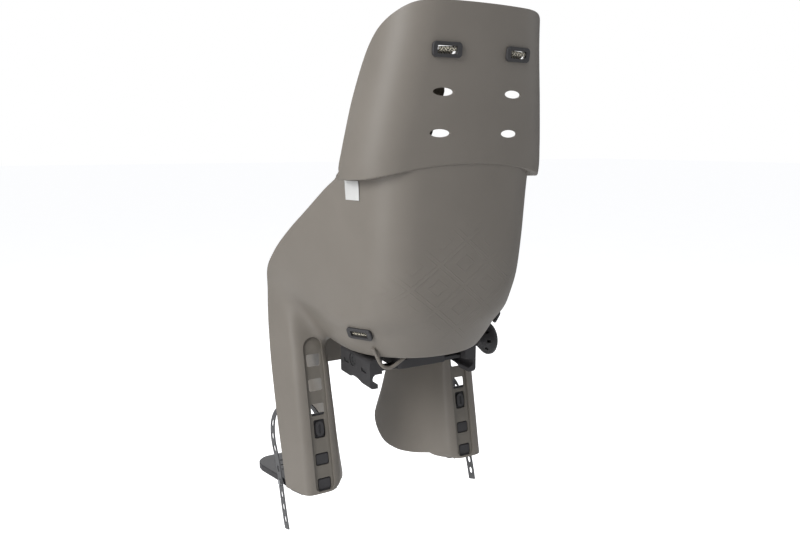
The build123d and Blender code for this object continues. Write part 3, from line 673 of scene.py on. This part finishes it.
def frameAlong(points, side):
    # side and normal at each point of a smooth line
    pts = np.array(points, float)
    ahead = np.gradient(pts, axis=0)
    ahead /= np.linalg.norm(ahead, axis=1)[:, None]
    sides = np.array(side, float)
    if sides.ndim == 1:
        sides = np.repeat(sides[None, :], len(pts), axis=0)
    sides = sides - ahead * np.sum(sides * ahead, axis=1)[:, None]
    sides /= np.linalg.norm(sides, axis=1)[:, None]
    return sides, np.cross(sides, ahead)


def ribbon(name, points, side, width, thick, material):
    # woven band along a line, with its width and length as UV, 100 mm to one unit
    sides, normals = frameAlong(points, side)
    half = width / 2
    soft = thick / 2
    outline = [(half, 0), (half - soft * 0.4, soft * 0.8)]
    outline += [(half * k, soft) for k in (0.75, 0.45, 0.15, -0.15, -0.45, -0.75)]
    outline += [(-half + soft * 0.4, soft * 0.8)]
    outline = outline + [(-u, -v) for u, v in outline]
    count = len(outline)
    walk = np.concatenate([[0], np.cumsum(np.linalg.norm(np.diff(np.array(points), axis=0), axis=1))])
    verts = []
    for p, s, n in zip(points, sides, normals):
        for u, v in outline:
            verts.append(Vector(np.array(p) + s * u + n * v) * mm)
    obj = newObject(name, verts, ringFaces(count, len(points)), material)
    fixNormals(obj)
    layer = obj.data.uv_layers.new(name="weave")
    for loop in obj.data.loops:
        k, i = divmod(loop.vertex_index, count)
        layer.data[loop.index].uv = (outline[i][0] * 0.01, walk[k] * 0.01)
    smooth(obj, 50)
    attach(obj, "seat")
    return obj


def tube(name, points, radius, material):
    # round rod along a line
    sides, normals = frameAlong(points, (0, 1, 0))
    count = 16
    verts = []
    for p, a, b in zip(points, sides, normals):
        for i in range(count):
            t = 2 * math.pi * i / count
            verts.append(Vector(np.array(p) + (a * math.cos(t) + b * math.sin(t)) * radius) * mm)
    obj = newObject(name, verts, ringFaces(count, len(points)), material)
    fixNormals(obj)
    smooth(obj, 50)
    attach(obj, "seat")
    return obj


def labelTag(material):
    # blank white tag hanging from the ledge, slightly curled
    tag = {"across": 30, "tall": 29, "rows": 16, "columns": 14, "halfThick": 0.35, "clear": 0.4,
           "shift": (1.1, -3.8, -6), "normal": (-0.955, -0.29, -0.05)}
    low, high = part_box("label_tag")
    low = Vector(low) / mm
    high = Vector(high) / mm
    normal = Vector(tag["normal"]).normalized()
    wide = Vector((-normal.y, normal.x, 0)).normalized()
    down = wide.cross(normal).normalized()
    if down.z > 0:
        down = -down
    centre = (low + high) / 2 + Vector(tag["shift"])
    across, tall, rows, columns = (tag[key] for key in ("across", "tall", "rows", "columns"))
    verts = []
    for depth in (tag["halfThick"], -tag["halfThick"]):
        for r in range(rows + 1):
            for c in range(columns + 1):
                u = (c / columns - 0.5) * across
                v = (r / rows - 0.5) * tall
                curl = 0.9 * (v / 14) ** 2 * math.sin(u / 9) * 0.4 - 0.25 * (v + 14) / 14 * 0.6
                point = centre + wide * u + down * v
                flare, half = bucketAt(point.z)[2:]
                flat = half + point.y * math.tan(math.radians(flare))
                push = max(0, shoulder(flat, point.y, point.z) - flat)
                verts.append((point + normal * (depth + curl + 0.95 * push + tag["clear"])) * mm)
    faces = []
    width = columns + 1
    layer = width * (rows + 1)
    for r in range(rows):
        for c in range(columns):
            a = r * width + c
            faces.append([a, a + 1, a + width + 1, a + width])
            faces.append([layer + a, layer + a + width, layer + a + width + 1, layer + a + 1])
    edge = list(range(width)) + [r * width + columns for r in range(1, rows + 1)]
    edge += [rows * width + c for c in range(columns - 1, -1, -1)] + [r * width for r in range(rows - 1, 0, -1)]
    for a, b in zip(edge, edge[1:] + edge[:1]):
        faces.append([a, layer + a, layer + b, b])
    obj = newObject("labelTag", verts, faces, material)
    fixNormals(obj)
    smooth(obj, 60)
    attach(obj, "seat")
    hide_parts("label_tag")


def shoulderX(z):
    # a shoulder strap's distance from the middle, by height
    (lowX, lowZ), (highX, highZ) = harness["tongue"], harness["anchor"]
    return lowX + (z - lowZ) * (highX - lowX) / (highZ - lowZ)


def roundCorners(points, steps=10):
    # quadratic B-spline through the middles of the runs, ends kept
    pts = [np.array(p, float) for p in points]
    out = [pts[0]]
    for i in range(1, len(pts) - 1):
        start = (pts[i - 1] + pts[i]) / 2 if i > 1 else pts[0] + (pts[1] - pts[0]) * 0.5
        end = (pts[i] + pts[i + 1]) / 2
        for k in range(steps + 1):
            t = k / steps
            out.append(start * (1 - t) ** 2 + pts[i] * 2 * t * (1 - t) + end * t * t)
    out.append(pts[-1])
    clean = [out[0]]
    for p in out[1:]:
        if np.linalg.norm(p - clean[-1]) > 0.15:
            clean.append(p)
    return clean


def strapTurn(label, s, band, material):
    # turn of webbing that shows in a rear anchor
    x, z = harness["anchor"]
    tilt = math.atan(shell["backSlope"])
    turn = x / shell["backRadius"]
    normal = Vector((math.sin(turn) * s, -math.cos(turn) * math.cos(tilt), -math.sin(tilt)))
    wide = Vector((math.cos(turn), math.sin(turn) * s, 0))
    up = wide.cross(normal) * -1
    centre = Vector((x * s, backLine(z) + x ** 2 / (2 * shell["backRadius"]), z))
    steps = [(-6, 2.8), (1.6, 2.6), (3.3, 1.2), (3.3, -0.2), (2.4, -1.4)]
    points = roundCorners([tuple(centre + normal * out + up * rise) for out, rise in steps], 6)
    ribbon("strapTurn_" + label, points, tuple(wide), band["turnWidth"], band["turnThick"], material)


class Graph:
    # short way to write a material's nodes
    def __init__(self, name):
        self.material = bpy.data.materials.new(name)
        self.material.use_nodes = True
        self.tree = self.material.node_tree
        self.shader = self.tree.nodes["Principled BSDF"]

    def add(self, kind, values=None, **settings):
        node = self.tree.nodes.new(kind)
        for key, value in settings.items():
            setattr(node, key, value)
        for key, value in (values or {}).items():
            if isinstance(value, bpy.types.NodeSocket):
                self.tree.links.new(value, node.inputs[key])
            else:
                node.inputs[key].default_value = value
        return node

    def math(self, operation, a, b=0.0):
        return self.add("ShaderNodeMath", {0: a, 1: b}, operation=operation).outputs[0]

    def set(self, **values):
        for key, value in values.items():
            key = key.replace("_", " ")
            if isinstance(value, bpy.types.NodeSocket):
                self.tree.links.new(value, self.shader.inputs[key])
            else:
                self.shader.inputs[key].default_value = value

    def place(self):
        return self.add("ShaderNodeTexCoord").outputs["Object"]

    def noise(self, vector, scale, detail=3.0, rough=0.55):
        values = {"Vector": vector, "Scale": scale, "Detail": detail, "Roughness": rough}
        return self.add("ShaderNodeTexNoise", values).outputs["Fac"]

    def ramp(self, value, low, high, start, end):
        values = {"Value": value, "From Min": low, "From Max": high, "To Min": start, "To Max": end}
        return self.add("ShaderNodeMapRange", values).outputs["Result"]

    def mix(self, share, first, second):
        return self.add("ShaderNodeMix", {0: share, 6: first, 7: second}, data_type="RGBA").outputs[2]

    def bump(self, height, distance, strength=1.0, normal=None):
        values = {"Height": height, "Distance": distance, "Strength": strength}
        if normal:
            values["Normal"] = normal
        return self.add("ShaderNodeBump", values).outputs["Normal"]


def tone(r, g, b):
    # screen colour in 0 to 255 as linear light
    return tuple(((c / 255 + 0.055) / 1.055) ** 2.4 if c > 10 else c / 255 / 12.92 for c in (r, g, b)) + (1,)


def plastic(name, low, high, rough=0.45, grain=1400, depth=0.00004, relief=False):
    g = Graph(name)
    where = g.place()
    cloud = g.noise(where, 9, 4)
    fine = g.noise(where, grain, 2)
    patch = g.ramp(cloud, 0.3, 0.7, 0, 1)
    g.set(Base_Color=g.mix(patch, tone(*low), tone(*high)))
    g.set(Roughness=g.ramp(fine, 0.3, 0.7, rough - 0.06, rough + 0.06))
    normal = g.bump(fine, depth, 0.6)
    if relief:
        normal = g.bump(reliefHeight(g, where), 0.0005, 0.8, normal)
    g.set(Normal=normal, Specular_IOR_Level=0.42)
    return g.material


def reliefHeight(g, where):
    # generic raised lines: a lattice of nested diamonds on the lower back
    axis = g.add("ShaderNodeSeparateXYZ", {0: where})
    x = g.math("MULTIPLY", axis.outputs[0], 0.8)
    z = g.math("SUBTRACT", axis.outputs[2], 0.16)
    first = g.math("PINGPONG", g.math("ADD", x, z), 0.036)
    second = g.math("PINGPONG", g.math("SUBTRACT", x, z), 0.036)
    far = g.math("MINIMUM", first, second)
    ring = g.math("PINGPONG", g.math("SUBTRACT", far, 0.0045), 0.009)
    line = g.ramp(ring, 0.0003, 0.0014, 1, 0)
    reach = g.math("ADD", g.math("ABSOLUTE", g.math("MULTIPLY", axis.outputs[0], 0.8)), g.math("ABSOLUTE", z))
    inside = g.ramp(reach, 0.08, 0.125, 1, 0)
    rear = g.ramp(axis.outputs[1], -0.125, -0.105, 1, 0)
    return g.math("MULTIPLY", line, g.math("MULTIPLY", inside, rear))


def steel(name):
    g = Graph(name)
    where = g.place()
    fine = g.noise(where, 900, 3)
    g.set(Base_Color=g.mix(g.ramp(g.noise(where, 40), 0.3, 0.7, 0, 1), tone(150, 152, 155), tone(178, 179, 180)))
    g.set(Roughness=g.ramp(fine, 0.3, 0.7, 0.28, 0.42), Metallic=1.0)
    g.set(Normal=g.bump(fine, 0.00002, 0.5))
    return g.material


def webbing(name):
    # herringbone of cream and black yarns, from the band's own millimetres
    g = Graph(name)
    uv = g.add("ShaderNodeUVMap", uv_map="weave").outputs[0]
    axis = g.add("ShaderNodeSeparateXYZ", {0: uv})
    across = g.math("MULTIPLY", axis.outputs[0], 100.0)
    along = g.math("MULTIPLY", axis.outputs[1], 100.0)
    zig = g.math("PINGPONG", g.math("ADD", across, 12.5), 6.25)
    lean = g.math("ADD", along, zig)
    wave = g.math("SINE", g.math("MULTIPLY", lean, 2 * math.pi / 4.2))
    yarn = g.ramp(wave, -0.3, 0.1, 0, 1)
    cross = g.math("SINE", g.math("MULTIPLY", across, 2 * math.pi / 0.8))
    fuzz = g.noise(g.place(), 2500, 2)
    light = g.mix(g.ramp(fuzz, 0.3, 0.7, 0, 1), tone(196, 188, 166), tone(226, 219, 200))
    dark = g.mix(g.ramp(fuzz, 0.3, 0.7, 0, 1), tone(22, 21, 20), tone(48, 46, 43))
    g.set(Base_Color=g.mix(yarn, dark, light), Roughness=0.86, Sheen_Weight=0.25, Sheen_Roughness=0.5)
    height = g.math("ADD", wave, g.math("MULTIPLY", cross, 0.4))
    g.set(Normal=g.bump(height, 0.00018, 0.8))
    return g.material


def fabric(name, low, high, pitch, depth, sheen=0.3, gap=0.0):
    # plain weave or mesh at a real pitch, in object space
    g = Graph(name)
    where = g.place()
    axis = g.add("ShaderNodeSeparateXYZ", {0: where})
    turn = 2 * math.pi / pitch
    wide = g.math("SINE", g.math("MULTIPLY", axis.outputs[0], turn))
    lift = g.math("ADD", axis.outputs[2], g.math("MULTIPLY", axis.outputs[1], 0.8))
    tall = g.math("SINE", g.math("MULTIPLY", lift, turn))
    weave = g.math("MULTIPLY", wide, tall)
    cloud = g.noise(where, 30, 4)
    colour = g.mix(g.ramp(cloud, 0.3, 0.7, 0, 1), tone(*low), tone(*high))
    if gap:
        hole = g.ramp(weave, 0.25, 0.6, 0, gap)
        colour = g.mix(hole, colour, tone(18, 17, 16))
    g.set(Base_Color=colour, Roughness=0.88, Sheen_Weight=sheen, Sheen_Roughness=0.45)
    fine = g.noise(where, 1800, 2)
    g.set(Normal=g.bump(g.math("ADD", weave, g.math("MULTIPLY", fine, 0.8)), depth, 0.8))
    return g.material


def paint(node, material):
    # dressed material on a CAD solid
    obj = nodes[node]
    for slotItem in obj.material_slots:
        slotItem.material = material
    if not obj.material_slots:
        obj.data.materials.append(material)


def puff(name, node, material, settings):
    # stuffed piece from its CAD solid: shrink, remesh, cloth pressure, capped growth, one subdivision
    mesh = nodes[node].data.copy()
    obj = bpy.data.objects.new(name, mesh)
    bpy.context.scene.collection.objects.link(obj)
    work = bmesh.new()
    work.from_mesh(mesh)
    bmesh.ops.remove_doubles(work, verts=work.verts, dist=0.00005)
    work.to_mesh(mesh)
    work.free()
    mesh.materials.clear()
    mesh.materials.append(material)
    mod = obj.modifiers.new("remesh", "REMESH")
    mod.mode = "VOXEL"
    mod.voxel_size = settings["voxel"] * mm
    applyAll(obj)
    relax(obj, 4, np.full(len(obj.data.vertices), 0.5))
    start = coords(obj) - coords(obj, "normal") * settings["shrink"] * mm
    moveTo(obj, start)
    mod = obj.modifiers.new("cloth", "CLOTH")
    mod.settings.uniform_pressure_force = settings["pressure"]
    mod.settings.use_pressure = True
    mod.settings.effector_weights.gravity = 0
    mod.point_cache.frame_start = 1
    mod.point_cache.frame_end = 20
    for step in range(1, 21):
        bpy.context.scene.frame_set(step)
    applyAll(obj)
    bpy.context.scene.frame_set(1)
    move = coords(obj) - start
    length = np.linalg.norm(move, axis=1)
    share = np.minimum(1, settings["cap"] * mm / np.maximum(length, 1e-9))
    moveTo(obj, start + move * share[:, None])
    relax(obj, 3, np.full(len(obj.data.vertices), 0.35))
    seam(obj, settings)
    mod = obj.modifiers.new("soft", "SUBSURF")
    mod.levels = 1
    applyAll(obj)
    smooth(obj, 80)
    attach(obj, "seat")
    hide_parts(node)
    return obj


def seam(obj, settings):
    # sewn channels as shallow grooves along listed lines, each an axis and a place in metres
    co = coords(obj)
    normals = coords(obj, "normal")
    depth = np.zeros(len(co))
    for axis, place in settings["seams"]:
        gap = np.abs(np.abs(co[:, axis]) - place) if axis == 0 else np.abs(co[:, axis] - place)
        depth = np.maximum(depth, np.exp(-(gap / 0.0035) ** 2))
    moveTo(obj, co - normals * depth[:, None] * settings["groove"] * mm)


def stitchTree(material):
    # thread stitches along a curve, one each pitch
    tree = bpy.data.node_groups.new("stitchRow", "GeometryNodeTree")
    tree.interface.new_socket("Geometry", in_out="INPUT", socket_type="NodeSocketGeometry")
    for label, value in (("Pitch", 0.005), ("Length", 0.003), ("Radius", 0.0004)):
        tree.interface.new_socket(label, in_out="INPUT", socket_type="NodeSocketFloat").default_value = value
    tree.interface.new_socket("Geometry", in_out="OUTPUT", socket_type="NodeSocketGeometry")
    start = tree.nodes.new("NodeGroupInput").outputs
    end = tree.nodes.new("NodeGroupOutput").inputs
    kinds = ("MeshToCurve", "CurveToPoints", "MeshCylinder", "InstanceOnPoints", "RealizeInstances", "SetMaterial")
    curve, points, thread, placed, real, colour = (tree.nodes.new("GeometryNode" + kind) for kind in kinds)
    points.mode = "LENGTH"
    thread.inputs["Vertices"].default_value = 6
    colour.inputs["Material"].default_value = material
    for a, b in ((start["Geometry"], curve.inputs["Mesh"]), (curve.outputs["Curve"], points.inputs["Curve"]),
                 (start["Pitch"], points.inputs["Length"]), (start["Length"], thread.inputs["Depth"]),
                 (start["Radius"], thread.inputs["Radius"]), (points.outputs["Points"], placed.inputs["Points"]),
                 (points.outputs["Rotation"], placed.inputs["Rotation"]),
                 (thread.outputs["Mesh"], placed.inputs["Instance"]),
                 (placed.outputs["Instances"], real.inputs["Geometry"]),
                 (real.outputs["Geometry"], colour.inputs["Geometry"]),
                 (colour.outputs["Geometry"], end["Geometry"])):
        tree.links.new(a, b)
    return tree


def stitchRows(name, base, rows, aim, tree, sizes):
    # rows of stitches dropped on a sewn piece along the aim direction
    bvh = BVHTree.FromPolygons([v.co for v in base.data.vertices], [list(p.vertices) for p in base.data.polygons])
    verts = []
    edges = []
    for row in rows:
        last = None
        for point in row:
            hit, normal = bvh.ray_cast(Vector(point), Vector(aim))[:2]
            if hit is None or (last is not None and (hit - last).length > 0.012):
                last = None
                continue
            verts.append(hit + normal * 0.0001)
            if last is not None:
                edges.append((len(verts) - 2, len(verts) - 1))
            last = hit
    mesh = bpy.data.meshes.new(name)
    mesh.from_pydata(verts, edges, [])
    obj = bpy.data.objects.new(name, mesh)
    scene.collection.objects.link(obj)
    mod = obj.modifiers.new("stitches", "NODES")
    mod.node_group = tree
    for item in tree.interface.items_tree:
        if item.in_out == "INPUT" and item.name in sizes:
            mod[item.identifier] = sizes[item.name]
    graph = bpy.context.evaluated_depsgraph_get()
    plain = bpy.data.meshes.new_from_object(obj.evaluated_get(graph), depsgraph=graph)
    obj.modifiers.clear()
    obj.data = plain
    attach(obj, "seat")


def cameraAndLight():
    # the photo's camera, soft lamps (place, size, power) and a white studio world
    cam = bpy.data.cameras.new("camera")
    cam.lens = 32.4
    cam.sensor_width = 36
    obj = bpy.data.objects.new("camera", cam)
    obj.location = (-0.620, -1.072, 0.375)
    obj.rotation_euler = (math.radians(80.39), 0, math.radians(-29.35))
    scene.collection.objects.link(obj)
    scene.camera = obj
    lamps = {
        "key": ((-2.3, -0.85, 1.5), 1.4, 49),
        "fill": ((0.6, -2.7, 0.6), 2.0, 3),
        "under": ((-2.2, -0.8, 0.0), 1.0, 8),
        "side": ((2.6, -1.1, 0.8), 1.6, 9),
        "front": ((0.4, 2.2, 1.8), 2.2, 40),
        "top": ((-0.4, -0.6, 2.6), 2.0, 13),
    }
    for name, (place, size, power) in lamps.items():
        lamp = bpy.data.lights.new(name, "AREA")
        lamp.shape = "SQUARE"
        lamp.size = size
        lamp.energy = power
        light = bpy.data.objects.new(name, lamp)
        light.location = place
        aim = Vector((0, 0, 0.15)) - Vector(place)
        light.rotation_euler = aim.to_track_quat("-Z", "Y").to_euler()
        scene.collection.objects.link(light)
    world = bpy.data.worlds.new("studio")
    scene.world = world
    world.use_nodes = True
    tree = world.node_tree
    back = tree.nodes["Background"]
    back.inputs["Color"].default_value = (0.9, 0.93, 1.0, 1)
    back.inputs["Strength"].default_value = 0.22
    white = tree.nodes.new("ShaderNodeBackground")
    white.inputs["Color"].default_value = (1, 1, 1, 1)
    white.inputs["Strength"].default_value = 1.0
    path = tree.nodes.new("ShaderNodeLightPath")
    mixer = tree.nodes.new("ShaderNodeMixShader")
    tree.links.new(path.outputs["Is Camera Ray"], mixer.inputs[0])
    tree.links.new(back.outputs[0], mixer.inputs[1])
    tree.links.new(white.outputs[0], mixer.inputs[2])
    tree.links.new(mixer.outputs[0], tree.nodes["World Output"].inputs[0])
    scene.view_settings.view_transform = "Standard"


def floor():
    # wide pale floor that keeps the seat's soft shadow
    size = 40
    low = cadBox[0][2] - 0.35
    obj = newObject("floor", [(-size, -size, low), (size, -size, low), (size, size, low), (-size, size, low)],
                    [[0, 1, 2, 3]])
    g = Graph("floorPaint")
    fine = g.noise(g.place(), 3, 2)
    g.set(Base_Color=g.mix(g.ramp(fine, 0.3, 0.7, 0, 1), (0.86, 0.86, 0.86, 1), (0.9, 0.9, 0.9, 1)))
    seen = g.add("ShaderNodeLightPath").outputs["Is Camera Ray"]
    g.set(Roughness=0.9, Emission_Color=(1, 1, 1, 1), Emission_Strength=g.math("MULTIPLY", seen, 0.8))
    obj.data.materials.append(g.material)


scene = bpy.context.scene
cameraAndLight()
floor()
shellPaint = plastic("shellPlastic", (126, 120, 112), (131, 125, 117), 0.46, 1500, 0.00005, True)
channelPaint = plastic("channelPlastic", (112, 107, 99), (117, 112, 104), 0.52, 1500, 0.00005)
darkPaint = plastic("darkPlastic", (58, 57, 58), (65, 64, 65), 0.5, 1300, 0.00008)
rubberPaint = plastic("strapRubber", (90, 90, 91), (98, 98, 99), 0.55, 900, 0.00008)
buttonPaint = plastic("buttonPlastic", (168, 34, 28), (182, 42, 34), 0.34, 1500, 0.00003)
steelPaint = steel("brushedSteel")
barPaint = plastic("blackedSteel", (52, 52, 53), (60, 60, 61), 0.42, 1100, 0.00004)
weavePaint = webbing("harnessWebbing")
meshPaint = fabric("padMesh", (92, 86, 76), (104, 98, 88), 0.0026, 0.0006, 0.2, 0.75)
seatPaint = fabric("seatFabric", (70, 70, 72), (84, 84, 86), 0.0022, 0.0002, 0.35)
labelPaint = fabric("labelFabric", (206, 206, 204), (218, 218, 216), 0.0008, 0.00005, 0.15)
threadPaint = fabric("sewingThread", (96, 96, 98), (118, 118, 120), 0.0006, 0.00003, 0.2)
cutPaint = bpy.data.materials.new("cutMark")

# The shell: skin of the bucket, arms and leg guards, with the head rest over it
body = seatSkin(shellPaint, cutPaint)
keepFirstMaterial(body)
outward(body, Vector((0, 0.1, 0.12)))
thicken(body, shell["wall"])
for s in (1, -1):
    place = lambda u, v, d: rearPoint(s, u, v, d)
    outline = channelWindow(channel["width"], channel["top"])
    cutWith(body, prism("window", outline, place, -30, 12, shellPaint))
smooth(body, 40)
head = headSkin(shellPaint)
thicken(head, shell["wall"])
slot = {"plain": (391, 448), "width": 32.6, "height": 11.3, "radius": 5.6}
slotX, anchorZ = harness["anchor"]
for x in (slotX, -slotX):
    for z in (*slot["plain"], anchorZ):
        outline = lens(slot["width"], slot["height"])
        if z == anchorZ:
            outline = rounded(slot["width"], slot["height"], slot["radius"], 8)
        place = lambda u, v, d: (x + u, d, z + v)
        cutWith(head, prism("slot", outline, place, -260, -150, shellPaint))
softEdge(head, 0.8)
smooth(head, 40)
for obj in (body, head):
    keepFirstMaterial(obj)
    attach(obj, "seat")
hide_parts("seat_shell")
for s in (1, -1):
    channelTray(s, channelPaint)

# Dressed materials on the CAD solids
for name in nodes:
    if name.startswith(("upper_anchor", "lower_anchor", "adapter", "mounting_plate", "jaw", "knob", "strap_adjuster",
                        "buckle_body", "buckle_tongue", "footrest", "crotch_anchor")):
        paint(name, darkPaint)
    elif name.startswith(("cross_bar", "spindle", "mounting")):
        paint(name, barPaint)
    elif name.startswith("strap_stud"):
        paint(name, steelPaint)
    elif name.startswith("foot_strap"):
        paint(name, rubberPaint)
paint("buckle_button", buttonPaint)
paint("knob_bolt", steelPaint)

# Web at the nose, and the loop for a safety strap
noseWeb(shellPaint)
loop = tube("strapLoop", roundCorners([(-112, -80, 54), (-90, -80, 8), (-44, -80, 36)], 12), 3.0, shellPaint)

# Harness
band = {"width": 25, "thick": 1.6, "turnWidth": 26, "turnThick": 1.4}
for s, label in ((1, "right"), (-1, "left")):
    line = [(-211, 507.9), (-203.5, 500.2), (-176, 488), (-150, 448), (-100, 380), (-72, 290), (-52, 165),
            (-46.7, 143.6), (-54.2, 138.65)]
    points = roundCorners([(s * shoulderX(z), y, z) for y, z in line], 8)
    strap = ribbon("shoulderStrap_" + label, points, (1, 0, 0), band["width"], band["thick"], weavePaint)
    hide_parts("shoulder_strap_" + label)
    # lap strap, from its anchor's slot round to the tongue
    slotLine = Vector((0.77, -0.46, -0.44)).normalized()
    place = Vector((132, -75.2, 80))
    line = [place + slotLine * 3, place - slotLine * 8, (108, -68, 74), (86, -64, 72), (62, -60, 78), (40, -58, 95),
            (24, -58, 120), (17, -55.4, 133.3), (17, -50, 136.8)]
    points = [(s * p[0], p[1], p[2]) for p in roundCorners([tuple(p) for p in line], 8)]
    along = Vector((0.46, 0.77, 0)).normalized()
    sides = []
    for k in range(len(points)):
        t = k / (len(points) - 1)
        wide = along * (1 - t) + Vector((1, 0, 0)) * t
        sides.append((s * wide.x, wide.y, wide.z))
    strap = ribbon("lapStrap_" + label, points, sides, band["width"], band["thick"], weavePaint)
    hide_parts("lap_strap_" + label)
    strapTurn(label, s, band, weavePaint)
line = [(95, 34), (95, 58), (84, 68), (44, 70), (1.8, 62.9), (-20.2, 96.3)]
points = roundCorners([(0, y, z) for y, z in line], 8)
strap = ribbon("crotchStrap", points, (1, 0, 0), band["width"], band["thick"], weavePaint)
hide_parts("crotch_strap")

# Blank tag
labelTag(labelPaint)

# Pads and cushions
padSettings = {"voxel": 3.0, "shrink": 0.6, "pressure": 3, "cap": 2.2, "fill": 0.7, "groove": 0.5, "seams": []}
pads = {}
for label in ("right", "left"):
    pads[label] = puff("shoulderPad_" + label, "shoulder_pad_" + label, meshPaint, padSettings)
seatSettings = {"voxel": 4.0, "shrink": 1.6, "pressure": 4, "cap": 3.0, "fill": 0.6, "groove": 1.6,
                "seams": [(0, 0.045), (1, -0.03), (1, 0.04)]}
seatCushion = puff("seatCushion", "seat_cushion", seatPaint, seatSettings)
backSettings = {"voxel": 4.0, "shrink": 1.6, "pressure": 4, "cap": 3.0, "fill": 0.6, "groove": 1.6,
                "seams": [(0, 0.045), (2, 0.13), (2, 0.2), (2, 0.27)]}
backCushion = puff("backCushion", "back_cushion", seatPaint, backSettings)

# Stitches along the sewn channels and the pads' edges
rowTree = stitchTree(threadPaint)
stitch = {"Pitch": 0.0052, "Length": 0.0032, "Radius": 0.00045}
step = 4
across = range(-120, 121, step)
rows = [[(x, y * mm, 0.2) for y in range(-150, 180, step)] for x in (-0.045, 0.045)]
rows += [[(x * mm, y, 0.2) for x in across] for y in (-0.03, 0.04)]
stitchRows("seatStitches", seatCushion, rows, (0, 0, -1), rowTree, stitch)
rows = [[(x, 0.2, z * mm) for z in range(60, 330, step)] for x in (-0.045, 0.045)]
rows += [[(x * mm, 0.2, z) for x in across] for z in (0.13, 0.2, 0.27)]
stitchRows("backStitches", backCushion, rows, (0, -1, 0), rowTree, stitch)
for s, label in ((1, "right"), (-1, "left")):
    rows = [[((s * shoulderX(z) + edge) * mm, 0.3, z * mm) for z in range(280, 500, step)] for edge in (-23, 23)]
    stitchRows("padStitches_" + label, pads[label], rows, (0, -1, 0), rowTree, stitch)
